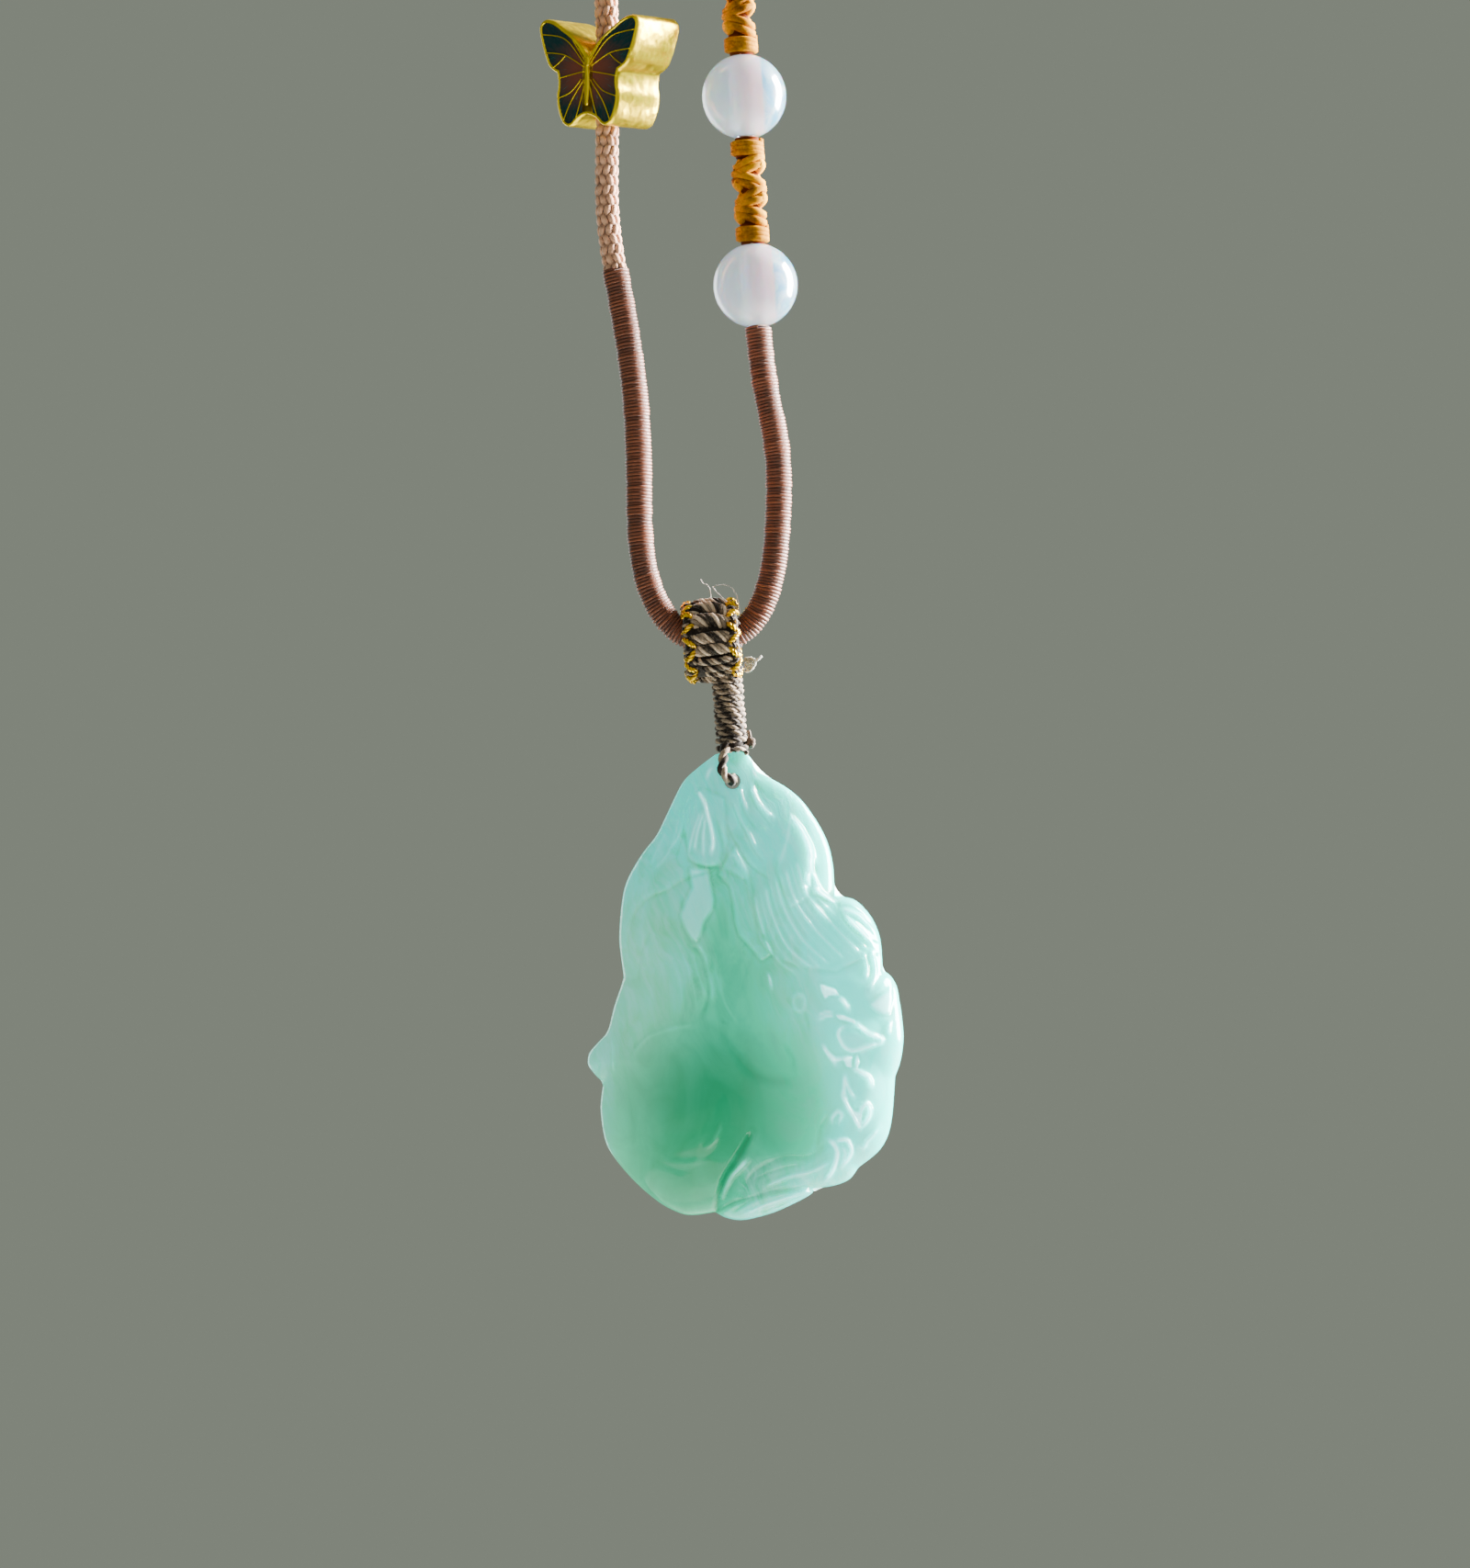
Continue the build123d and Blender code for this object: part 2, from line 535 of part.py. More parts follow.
def bail_rows():
    """The knotted middle of the bail: rows of knots that run all round it."""
    width = bail_width - 2 * (edging_width + gap)
    swell = 0.32 * row_size
    wide, high = bail_depth / 2 - swell, bail_height / 2 - swell
    count = round(math.pi * (wide + high) / row_size)
    side = Ellipse(wide, high)
    for k in range(count):
        turn = 2 * math.pi * (k + 0.5) / count
        side += Pos((wide - 0.2) * math.cos(turn), (high - 0.2) * math.sin(turn)) * Circle(swell + 0.2)
    return Pos(bail_shift, 0, pivot_z) * extrude(Plane.YZ * side, width / 2, both=True) - bail_bore()


def bail_edging(side):
    """Metallic thread along one edge of the bail, with rounded corners."""
    middle = bail_shift + side * (bail_width - edging_width) / 2
    band = bail_band(edging_width, middle, edging_inset)
    outside = [edge for edge in band.edges() if edge.length > 2 * edging_width]
    return fillet(outside, 0.3 * edging_width) - bail_bore()


stem_length = stem_turns * stem_turn_pitch
stem_bottom = pivot_z - bail_height / 2 - stem_length


def wrapped_stem():
    """A stem wound round with cord, whose upper end is saddled under the bail."""
    swell = stem_size / 2
    waist = swell - 0.2
    rod = ringed_rod(waist, swell, stem_turn_pitch, stem_turns, stem_length + bail_height / 6)
    return Pos(stem_shift, 0, stem_bottom) * rod - bail_band(2 * bail_width, bail_shift, -gap)


def hanging_thread(stone):
    """Thread from the stem's front, through the stone's hole and up behind it to the stem."""
    hole_z = to_size(hole_place)[1]
    rim_y = stone_shift(stone)
    clear = thread_size / 2 + gap
    back = rim_y + back_depth(hole_z) + clear

    def before(x, below_bail):
        return rim_y - on_face(x, below_bail) - clear

    leg = (stem_size - thread_size) / 2
    top, level = stem_bottom - 3 * gap, pivot_z - hole_drop
    drop = pivot_z - top
    route = [(0.45, -leg, top), (0.1, before(0.1, drop + 1.2) - 0.2, top - 0.9),
             (-0.25, before(0.1, hole_drop) - 0.5, level + 0.75),
             (hole_shift, before(hole_shift, hole_drop) - 0.55, level), (hole_shift, back + 0.4, level),
             (hole_shift, back + 0.15, level + 2.1), (0.85, leg + 0.4, top)]
    route = [Vector(*point) for point in route]
    radii = []
    for before, here, after in zip(route, route[1:], route[2:]):
        turn = math.radians((here - before).get_angle(after - here))
        radii.append(0.45 * min((here - before).length, (after - here).length) / math.tan(turn / 2))
    print("hanging_thread radii", [round(r, 2) for r in radii])
    path = FilletPolyline(*route, radius=radii)
    return sweep(Plane(origin=path @ 0, z_dir=path % 0) * Circle(thread_size / 2), path=path)


def thread_nub(x, z):
    return Pos(x + nub_size / 2 + gap, 0, z) * Sphere(nub_size / 2)


jade = placed_jade()
fly_body, enamel = butterfly()
fly_x, fly_z = over_bail(fly_place)
fly_strand = aligned((fly_x, fly_z), (fly_x + 1.0, fly_z + 10.5))
fly_bore = fly_strand * Cylinder(braid_size / 2 + gap, 3 * fly_height)

pieces = {
    "braided_cord": cord(braid_route, braid_size, "braided_cord"),
    "wrapped_cord": cord(wrap_route, wrap_size, "wrapped_cord"),
    "knotted_cord_upper": cord(knotted_route, knotted_size, "knotted_cord_upper"),
    "knotted_cord_lower": knotted_link(),
    "closing_sleeve": closing_sleeve(),
    "bead_lower": bead(lower_centre, upper_centre),
    "bead_upper": bead(upper_centre, along(upper_centre, lower_centre, -bead_size)),
    "core_thread_lower": core_thread(lower_centre, upper_centre),
    "core_thread_upper": core_thread(upper_centre, along(upper_centre, lower_centre, -bead_size)),
    "butterfly_body": fly_place_at(fly_body) - fly_bore,
    "bail_knot": bail_rows(),
    "bail_edging_left": bail_edging(-1),
    "bail_edging_right": bail_edging(1),
    "wrapped_stem": wrapped_stem(),
    "hanging_thread": hanging_thread(jade),
    "thread_nub_upper": thread_nub(bail_shift + bail_width / 2, pivot_z - nub_drop),
    "thread_nub_lower": thread_nub(stem_shift + stem_size / 2, stem_bottom + nub_size / 2),
    "jade_fox": jade,
}
for name, plate in enamel.items():
    pieces[name] = fly_place_at(plate)

os.makedirs("parts", exist_ok=True)
for name, piece in pieces.items():
    export_step(piece, "parts/" + name + ".step")
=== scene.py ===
import math
import random

import bmesh
import bpy
import numpy as np
from mathutils import Matrix, Vector


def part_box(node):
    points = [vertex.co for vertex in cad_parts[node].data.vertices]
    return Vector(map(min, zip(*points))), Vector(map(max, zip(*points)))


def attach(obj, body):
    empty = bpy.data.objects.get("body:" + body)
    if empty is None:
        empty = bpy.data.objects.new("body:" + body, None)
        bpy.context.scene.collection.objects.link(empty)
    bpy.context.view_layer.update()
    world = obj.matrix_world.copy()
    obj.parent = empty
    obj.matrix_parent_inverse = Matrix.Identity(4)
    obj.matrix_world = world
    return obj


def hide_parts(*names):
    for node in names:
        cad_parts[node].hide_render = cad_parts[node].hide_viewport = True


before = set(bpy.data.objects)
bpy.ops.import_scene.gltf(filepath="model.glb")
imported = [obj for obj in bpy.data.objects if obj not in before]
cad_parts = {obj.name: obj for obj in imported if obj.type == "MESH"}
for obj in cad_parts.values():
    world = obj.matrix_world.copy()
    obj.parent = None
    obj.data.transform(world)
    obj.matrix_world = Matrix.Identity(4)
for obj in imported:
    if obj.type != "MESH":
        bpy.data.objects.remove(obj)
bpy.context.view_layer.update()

bl_info = {
    "name": "Jade Fox Pendant",
    "version": (1, 0, 0),
    "blender": (4, 5, 0),
    "location": "View3D > Sidebar > Pendant",
    "description": "Dresses a carved jade pendant and its corded necklace round their CAD frame",
    "category": "Add Mesh",
}

MM = 0.001
TURN = 2 * math.pi
FRONT = Vector((0, -1, 0))
UP = Vector((0, 0, 1))


def corners(node):
    """Low and high corner of a CAD node, in metres."""
    return [Vector(corner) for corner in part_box(node)]


PIVOT = sum(corners("bail_knot"), Vector()) / 2 / MM

# Stops of the cords' routes in millimetres: across, and up from the underside of the loop's top.
WRAP_STOPS = [
    (6.433, -264.77), (6.5, -269.8), (7.5, -276.4), (7.0, -283.0), (5.9, -289.0), (3.6, -293.1),
    (0.2, -294.2), (-3.4, -293.2), (-5.75, -289.2), (-6.35, -283.8), (-5.7, -276.0),
    (-5.62, -267.1), (-6.63, -258.3)]
BRAID_STOPS = [
    (-6.63, -258.3), (-7.124, -254.0), (-6.5, -246.5), (-5.5, -236.0), (-5.35, -217.56),
    (-5.3, -188.16), (-5.1, -139.65), (-4.75, -89.67), (-4.35, -44.1), (-4.1, -20.58),
    (-3.98, -7.5), (-3.9, -1.11), (-1.615, 1.175), (1.615, 1.175), (3.9, -1.11), (4.0, -6.8),
    (4.158, -15.0)]
KNOT_STOPS = [
    (6.867, -238.93), (6.9, -234.0), (6.75, -228.0), (6.5, -215.0), (6.25, -189.63), (5.9, -149.94),
    (5.45, -104.37), (5.0, -64.68), (4.554, -35.6), (4.215, -18.0)]
BEAD_CENTRES = [(6.5, -260.8), (6.8, -242.9)]


# Sizes and colours

def colour_of(code):
    """Linear colour of a six-figure screen colour."""
    values = [int(code[k:k + 2], 16) / 255 for k in (0, 2, 4)]
    return tuple(v / 12.92 if v < 0.04045 else ((v + 0.055) / 1.055) ** 2.4 for v in values)


def length(name, text, default):
    return bpy.props.FloatProperty(name=name, description=text, default=default * MM,
                                   subtype="DISTANCE", unit="LENGTH", precision=5)


def angle(name, text, degrees):
    return bpy.props.FloatProperty(name=name, description=text, default=math.radians(degrees),
                                   subtype="ANGLE", unit="ROTATION")


def number(name, text, default):
    return bpy.props.IntProperty(name=name, description=text, default=default)


def colour(name, text, code):
    return bpy.props.FloatVectorProperty(name=name, description=text, default=colour_of(code),
                                         subtype="COLOR", size=3, min=0, max=1)


class PendantView(bpy.types.PropertyGroup):
    distance: length("Distance", "From the camera to the pendant", 400)
    height: length("Height", "Height of the view at the pendant", 148.4)
    across: length("Across", "Middle of the view, to the right of the origin", 0.95)
    down: length("Down", "Middle of the view, under the origin", 307.7)
    roll: angle("Roll", "Lean of the camera to the right", 4.4)
    window: bpy.props.FloatProperty(name="Window", description="Power of the light on the right",
                                    default=56.0, unit="POWER")
    backdrop: colour("Backdrop", "Plain colour behind the pendant", "7f867a")
    floor: colour("Floor", "Plain pale floor", "c9ccc4")


class PendantCords(bpy.types.PropertyGroup):
    braid: length("Braid", "Diameter of the braided cord", 2.35)
    wrap: length("Wrap", "Diameter of the cord where it is wound over", 2.55)
    winding: length("Winding", "Pitch of the fine winding", 0.31)
    knotted: length("Knotted", "Width of the orange knotted cord", 3.4)
    knot: length("Knot", "Height of one orange knot", 1.7)
    braid_colour: colour("Braid", "Thread of the braid", "bc8c70")
    wrap_colour: colour("Winding", "Fine winding thread", "8c4826")
    knot_colour: colour("Knots", "Orange knotted thread", "ff8600")
    core_colour: colour("Core", "Thread inside the beads", "e6cfc8")


class PendantBeads(bpy.types.PropertyGroup):
    size: length("Size", "Diameter of a bead", 8.0)
    bore: length("Bore", "Diameter of the hole through it", 1.86)
    stone: colour("Stone", "Milky white stone", "dcecff")


class PendantButterfly(bpy.types.PropertyGroup):
    width: length("Width", "Across both wings", 12.6)
    height: length("Height", "From wing tip to wing tip", 10.2)
    depth: length("Depth", "From face to face", 6.1)
    turn: angle("Turn", "Turn about the cord", -40)
    gold: colour("Gold", "Gilt metal", "ffe000")
    wing_tip: colour("Wing tip", "Enamel at the tips", "003236")
    wing_root: colour("Wing root", "Enamel near the body", "7c4030")


class PendantBail(bpy.types.PropertyGroup):
    width: length("Width", "Across the bail", 5.6)
    height: length("Height", "From top to bottom", 8.0)
    depth: length("Depth", "From front to back", 7.0)
    stem: length("Stem", "Diameter of the wound stem", 3.1)
    turn_pitch: length("Turn", "Height of one turn of the stem's winding", 0.55)
    turns: number("Turns", "Turns round the stem", 11)
    thread: colour("Thread", "Olive brown thread", "8a7765")
    lame: colour("Metallic thread", "Gold thread of the edging", "ffcd1e")


class PendantJade(bpy.types.PropertyGroup):
    width: length("Width", "Across the stone", 29.95)
    height: length("Height", "From top to bottom", 44.5)
    relief: length("Relief", "Height of a usual carved step", 1.0)
    lean: angle("Lean", "Lean of the stone to the right", 4.4)
    columns: number("Columns", "Facets across the face", 228)
    rows: number("Rows", "Facets down the face", 334)
    pale: colour("Pale", "Thin and outer parts of the stone", "2cfff0")
    mint: colour("Mint", "Usual colour of the stone", "00deac")
    deep: colour("Deep", "Heart of the stone", "00925c")


def settings(group):
    return getattr(bpy.context.scene, "pendant_" + group)


# Lines and gathered shapes

def spot(across, up):
    """A place in the plane of the necklace, from millimetres."""
    return Vector((across, 0, up)) * MM


def smooth_points(name, stops):
    """Points along the smooth line that a route's stops control, all in metres."""
    curve = bpy.data.curves.new(name + "_route", "CURVE")
    curve.dimensions = "3D"
    curve.resolution_u = 16
    spline = curve.splines.new("NURBS")
    spline.points.add(len(stops) - 1)
    for point, stop in zip(spline.points, stops):
        point.co = (*(value * MM for value in stop), 1)
    spline.order_u = 3
    spline.use_endpoint_u = True
    holder = bpy.data.objects.new(name + "_route", curve)
    mesh = bpy.data.meshes.new_from_object(holder)
    points = [vertex.co.copy() for vertex in mesh.vertices]
    bpy.data.objects.remove(holder)
    bpy.data.meshes.remove(mesh)
    bpy.data.curves.remove(curve)
    return points


class Line:
    """A line measured along its length, with the directions across it at any place."""

    def __init__(self, points, across=FRONT):
        self.points, self.reach, self.across = points, [0.0], []
        self.ways = [(b - a).normalized() for a, b in zip(points, points[1:])]
        for a, b in zip(points, points[1:]):
            self.reach.append(self.reach[-1] + (b - a).length)
        for way in self.ways:
            across = (across - way * across.dot(way)).normalized()
            self.across.append(across)
        self.length = self.reach[-1]

    def at(self, distance):
        """Point, direction, forward and sideways directions at a distance along the line."""
        k = int(np.searchsorted(self.reach, distance, side="right")) - 1
        k = max(0, min(len(self.ways) - 1, k))
        point = self.points[k] + self.ways[k] * (distance - self.reach[k])
        share = (distance - self.reach[k]) / (self.reach[k + 1] - self.reach[k])
        other = min(len(self.ways) - 1, k + 1) if share > 0.5 else max(0, k - 1)
        lean = abs(share - 0.5)
        way = self.ways[k].lerp(self.ways[other], lean).normalized()
        forward = self.across[k].lerp(self.across[other], lean)
        forward = (forward - way * forward.dot(way)).normalized()
        return point, way, forward, way.cross(forward)


def flat_line(name, stops):
    """A line in the plane of the necklace, from stops across and up."""
    return Line(smooth_points(name, [(x, 0, z) for x, z in stops]))


def around(line, distance, turn, radius):
    """Centre and outward direction of a thread that goes round a line; it starts in front."""
    point, _, forward, side = line.at(distance)
    out = forward * math.cos(turn) + side * math.sin(turn)
    return point + out * radius, out


def blend(values, place, share):
    """What lies between one value of a row and the next one."""
    return values[place] * (1 - share) + values[place + 1] * share


class Shape:
    """Points, faces and a shade for each point, gathered before they become one piece."""

    def __init__(self):
        self.points, self.faces, self.shades = [], [], []

    def tube(self, centres, outs, wide, thick, sides=6, shade=0.5, closed=False):
        """An oval tube along its centres, thick along the outs and wide across them."""
        count = len(centres)
        start = len(self.points)
        for k, (centre, out) in enumerate(zip(centres, outs)):
            before = centres[k - 1] if k or closed else centres[k]
            after = centres[(k + 1) % count] if k < count - 1 or closed else centres[k]
            way = (after - before).normalized()
            out = (out - way * out.dot(way)).normalized()
            side = way.cross(out)
            w = wide[k] if isinstance(wide, list) else wide
            t = thick[k] if isinstance(thick, list) else thick
            for n in range(sides):
                turn = TURN * (n + 0.5) / sides
                self.points.append(centre + out * (t * math.cos(turn))
                                   + side * (w * math.sin(turn)))
                self.shades.append(shade[k] if isinstance(shade, list) else shade)
        for k in range(count if closed else count - 1):
            row, after = start + k * sides, start + (k + 1) % count * sides
            for n in range(sides):
                m = (n + 1) % sides
                self.faces.append((row + n, row + m, after + m, after + n))
        if not closed:
            self.faces.append(tuple(start + n for n in reversed(range(sides))))
            self.faces.append(tuple(start + (count - 1) * sides + n for n in range(sides)))

    def rope(self, line, plies, offset, ply, lay, sides=6, steps=10, shades=(0.3, 0.7), phase=0.0):
        """Plies twisted round a line."""
        count = max(4, int(steps * line.length / lay) + 1)
        for p in range(plies):
            places = []
            for k in range(count + 1):
                distance = line.length * k / count
                turn = TURN * (distance / lay + p / plies) + phase
                places.append(around(line, distance, turn, offset))
            self.tube(*zip(*places), ply, ply, sides, shades[p % len(shades)])

    def core(self, line, steps, radius, sides, shade, start=0.0, end=None):
        """A plain round tube along a line, or between two distances on it."""
        span = (line.length if end is None else end) - start
        places = [line.at(start + span * k / steps) for k in range(steps + 1)]
        self.tube([p[0] for p in places], [p[2] for p in places], radius, radius, sides, shade)

    def grid(self, rings, closed_rows=False, shade=0.5):
        """Quads between closed rings of points."""
        start, count = len(self.points), len(rings[0])
        for ring in rings:
            self.points += ring
            self.shades += [shade] * count
        for k in range(len(rings) if closed_rows else len(rings) - 1):
            row, after = start + k * count, start + (k + 1) % len(rings) * count
            for n in range(count):
                m = (n + 1) % count
                self.faces.append((row + n, row + m, after + m, after + n))

    def blob(self, centre, half_axes, bumps, seed, shade=0.5):
        """A rounded, bumpy lump."""
        draw = random.Random(seed)
        rows, turns, start = 10, 16, len(self.points)
        wide, deep, high = [Vector(axis) for axis in np.diag(half_axes)]
        self.points.append(centre + high)
        for r in range(1, rows):
            fall = math.pi * r / rows
            for n in range(turns):
                turn = TURN * n / turns
                swell = 1 + bumps * draw.uniform(-1, 1)
                self.points.append(centre + (wide * math.cos(turn) + deep * math.sin(turn))
                                   * (math.sin(fall) * swell) + high * (math.cos(fall) * swell))
        self.points.append(centre - high)
        last = len(self.points) - 1
        self.shades += [shade] * (last + 1 - start)
        for n in range(turns):
            m = (n + 1) % turns
            self.faces.append((start, start + 1 + n, start + 1 + m))
            self.faces.append((last, last - turns + m, last - turns + n))
            for r in range(rows - 2):
                row = start + 1 + r * turns
                self.faces.append((row + n, row + turns + n, row + turns + m, row + m))

    def mesh(self, name):
        made = bpy.data.meshes.new(name)
        made.from_pydata([tuple(p) for p in self.points], [], self.faces)
        return made


def turns_of(count):
    """Angles evenly round a full turn."""
    return [TURN * n / count for n in range(count)]


def add_object(name, data):
    made = bpy.data.objects.new(name, data)
    bpy.context.scene.collection.objects.link(made)
    return made


def add_piece(mesh, material, body, slot, *replaced):
    """A smooth piece that rides on its CAD body, in place of the CAD nodes named last."""
    mesh.polygons.foreach_set("use_smooth", [True] * len(mesh.polygons))
    mesh.materials.append(material)
    made = add_object(mesh.name, mesh)
    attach(made, body)
    if replaced:
        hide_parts(*replaced)
    return made


def mark_points(mesh, name, values):
    mark = mesh.attributes.new(name, "FLOAT", "POINT")
    mark.data.foreach_set("value", values)


def piece(name, shape, material, body, slot, *replaced):
    """A piece made of a gathered shape, with its faces turned outwards."""
    mesh = shape.mesh(name)
    mark_points(mesh, "shade", shape.shades)
    work = bmesh.new()
    work.from_mesh(mesh)
    bmesh.ops.recalc_face_normals(work, faces=work.faces)
    work.to_mesh(mesh)
    work.free()
    return add_piece(mesh, material, body, slot, *replaced)


def drill(made, start, end, out, radius, solver):
    """A round hole through a piece."""
    shape = Shape()
    shape.tube([start, end], [out, out], radius, radius, 32)
    cutter = add_object("drill", shape.mesh("drill"))
    cut = made.modifiers.new("hole", "BOOLEAN")
    cut.object, cut.operation, cut.solver = cutter, "DIFFERENCE", solver
    with bpy.context.temp_override(object=made, active_object=made, selected_objects=[made]):
        bpy.ops.object.modifier_apply(modifier=cut.name)
    bpy.data.objects.remove(cutter)


# Materials

def add_node(tree, kind, values=(), **choices):
    """A node with its choices made, and its input sockets set or linked."""
    made = tree.nodes.new("ShaderNode" + kind)
    for key, value in choices.items():
        setattr(made, key, value)
    for key, value in dict(values).items():
        if isinstance(value, bpy.types.NodeSocket):
            tree.links.new(value, made.inputs[key])
        else:
            made.inputs[key].default_value = value
    return made


def mix_colours(tree, factor, *pair):
    """Two colours mixed: each is a socket or three numbers."""
    pair = [value if isinstance(value, bpy.types.NodeSocket) else (*value, 1) for value in pair]
    return add_node(tree, "Mix", {0: factor, 6: pair[0], 7: pair[1]}, data_type="RGBA").outputs[2]


def maths(tree, operation, first, second=0.5, clamp=False):
    return add_node(tree, "Math", {0: first, 1: second}, operation=operation,
                    use_clamp=clamp).outputs[0]


def vectors(tree, operation, first, second):
    return add_node(tree, "VectorMath", {0: first, 1: second}, operation=operation).outputs[0]


def stretch(tree, value, low, high, to_low=0.0, to_high=1.0):
    """The value with low and high moved to other ends, and held between them."""
    return add_node(tree, "MapRange", {0: value, 1: low, 2: high, 3: to_low,
                                       4: to_high}).outputs[0]


def noise(tree, scale, detail, roughness=0.5, **others):
    return add_node(tree, "TexNoise", {"Scale": scale, "Detail": detail, "Roughness": roughness,
                                       **others}).outputs


def mark_of(tree, name):
    """The number that each point of a mesh carries under a name."""
    return add_node(tree, "Attribute", attribute_name=name).outputs["Fac"]


def bump(tree, shader, height, strength, distance):
    made = add_node(tree, "Bump", {"Strength": strength, "Distance": distance, "Height": height})
    tree.links.new(made.outputs[0], shader.inputs["Normal"])


def group_of(name, inputs, outputs):
    """A shader node group, with its place on the object and its ends if it is still empty.

    Its sockets hold a number each, or a colour where that is None.
    """
    found = bpy.data.node_groups.get(name)
    if found:
        return found, None, None, None
    group = bpy.data.node_groups.new(name, "ShaderNodeTree")
    for side, sockets in (("INPUT", inputs), ("OUTPUT", outputs)):
        for label, value in sockets.items():
            kind = "NodeSocketColor" if value is None else "NodeSocketFloat"
            socket = group.interface.new_socket(label, in_out=side, socket_type=kind)
            if value is not None:
                socket.default_value = value
    return (group, group.nodes.new("ShaderNodeTexCoord").outputs["Object"],
            group.nodes.new("NodeGroupInput").outputs, group.nodes.new("NodeGroupOutput").inputs)


def fibre_group():
    """Fine fibres: a colour that varies from thread to thread and follows the painted light and
    shade of the Shade input, and a height for bump.
    """
    group, place, given, out = group_of(
        "fibres", {"Dark": None, "Light": None, "Shade": 0.5, "Scale": 3000.0},
        {"Color": None, "Height": 0.0})
    if place:
        fine = noise(group, given["Scale"], 3.0, 0.7, Vector=place)[0]
        broad = noise(group, 350.0, 2.0, Vector=place)[0]
        level = maths(group, "MULTIPLY_ADD", fine, 0.9)
        level.node.inputs[2].default_value = -0.25
        level = maths(group, "ADD", level, maths(group, "MULTIPLY", broad, 0.35))
        level = maths(group, "ADD", level, maths(group, "SUBTRACT", given["Shade"], 0.5), True)
        group.links.new(mix_colours(group, level, given["Dark"], given["Light"]), out["Color"])
        group.links.new(fine, out["Height"])
    return group


def cloud_group():
    """Clouds, fine flecks and drawn-out fur inside a stone, as masks."""
    group, place, given, out = group_of("clouds", {"Scale": 120.0, "Stretch": 2.0},
                                        {"Clouds": 0.0, "Flecks": 0.0, "Fur": 0.0})
    if place:
        wide = add_node(group, "CombineXYZ", {0: given["Stretch"], 1: 1.0, 2: 1.0})
        scaled = vectors(group, "MULTIPLY", place, wide.outputs[0])
        clouds = noise(group, given["Scale"], 4.0, 0.6, Vector=scaled, Distortion=1.2)
        flecks = add_node(group, "TexVoronoi", {"Vector": scaled, "Scale": 900.0}).outputs[0]
        bent = vectors(group, "MULTIPLY", clouds[1], (0.0025, 0.0, 0.0025))
        bent = vectors(group, "ADD", bent, place)
        leaned = add_node(group, "VectorRotate", {"Vector": bent, "Angle": 0.3},
                          rotation_type="Y_AXIS").outputs[0]
        drawn = vectors(group, "MULTIPLY", leaned, (1700.0, 300.0, 260.0))
        fur = noise(group, 1.0, 3.0, 0.55, Vector=drawn)[0]
        group.links.new(stretch(group, clouds[0], 0.38, 0.68), out["Clouds"])
        group.links.new(stretch(group, flecks, 0.0, 0.35, 1.0, 0.0), out["Flecks"])
        group.links.new(stretch(group, fur, 0.4, 0.66), out["Fur"])
    return group


def hammered_group():
    """Small dents and rubbed patches of soft gilt metal."""
    group, place, given, out = group_of("hammered", {"Scale": 500.0}, {"Height": 0.0, "Rub": 0.0})
    if place:
        group.links.new(noise(group, given["Scale"], 2.0, 0.45, Vector=place)[0], out["Height"])
        group.links.new(noise(group, 1800.0, 4.0, Vector=place)[0], out["Rub"])
    return group


def clouds_in(tree, scale, wide=1.0):
    return add_node(tree, "Group", {"Scale": scale, "Stretch": wide},
                    node_tree=cloud_group()).outputs


def new_material(name, **constants):
    """A material with its shader, whose plain numbers are set on the shader's own sockets."""
    found = bpy.data.materials.get(name)
    if found:
        return found, None, None
    made = bpy.data.materials.new(name)
    made.use_nodes = True
    shader = made.node_tree.nodes["Principled BSDF"]
    for key, value in constants.items():
        shader.inputs[key.replace("_", " ")].default_value = value
    return made, made.node_tree, shader


def thread_material(name, base, dark=0.45, light=1.25, scale=3000.0, sheen=0.3, rough=0.7,
                    gloss=0.25):
    """Thread with fine fibres, with painted shade in its hollows, darker and redder, and painted
    light on top.
    """
    made, tree, shader = new_material(name, Roughness=rough, Sheen_Weight=sheen,
                                      Sheen_Roughness=0.4, Specular_IOR_Level=gloss)
    if tree:
        # Painted shade: the hollow colour shows where the shade mark is low. Painted light: the
        # ridge colour shows where it is high.
        painted_hollow_shade = tuple(part * dark * k for part, k in zip(base, (1.0, 0.7, 0.62)))
        ridge = tuple(min(1, part * light) for part in base)
        fibres = add_node(tree, "Group", {"Dark": (*painted_hollow_shade, 1), "Light": (*ridge, 1),
                                          "Shade": mark_of(tree, "shade"), "Scale": scale},
                          node_tree=fibre_group()).outputs
        tree.links.new(fibres["Color"], shader.inputs["Base Color"])
        bump(tree, shader, fibres["Height"], 0.5, 0.00008)
    return made


def gilt_material(name, base, rough, dent, scale=500.0):
    """Gilt metal with dents and small rubbed patches."""
    made, tree, shader = new_material(name, Metallic=1.0)
    if tree:
        worn = add_node(tree, "Group", {"Scale": scale}, node_tree=hammered_group()).outputs
        tree.links.new(stretch(tree, worn["Rub"], 0.3, 0.7, rough - 0.03, rough + 0.05),
                       shader.inputs["Roughness"])
        darker = tuple(part * k for part, k in zip(base, (0.96, 0.9, 0.8)))
        tint = stretch(tree, worn["Rub"], 0.35, 0.65)
        tree.links.new(mix_colours(tree, tint, darker, base), shader.inputs["Base Color"])
        bump(tree, shader, worn["Height"], 0.6, dent)
    return made


# Camera, light and floor

# Name, place from the middle of the view, width and height, all in metres, then the power as a
# share of the window's and the tint.
LIGHTS = [
    ("window_light", (0.42, 0.16, 0.1), (0.2, 0.42), 1.0, (1.0, 0.975, 0.93)),
    ("left_rim_light", (-0.26, 0.4, 0.02), (0.2, 0.4), 0.012, (0.93, 0.97, 1.0)),
    ("front_fill_light", (-0.25, -1.3, 0.25), (2.4, 2.4), 0.1, (0.95, 0.98, 1.0)),
]


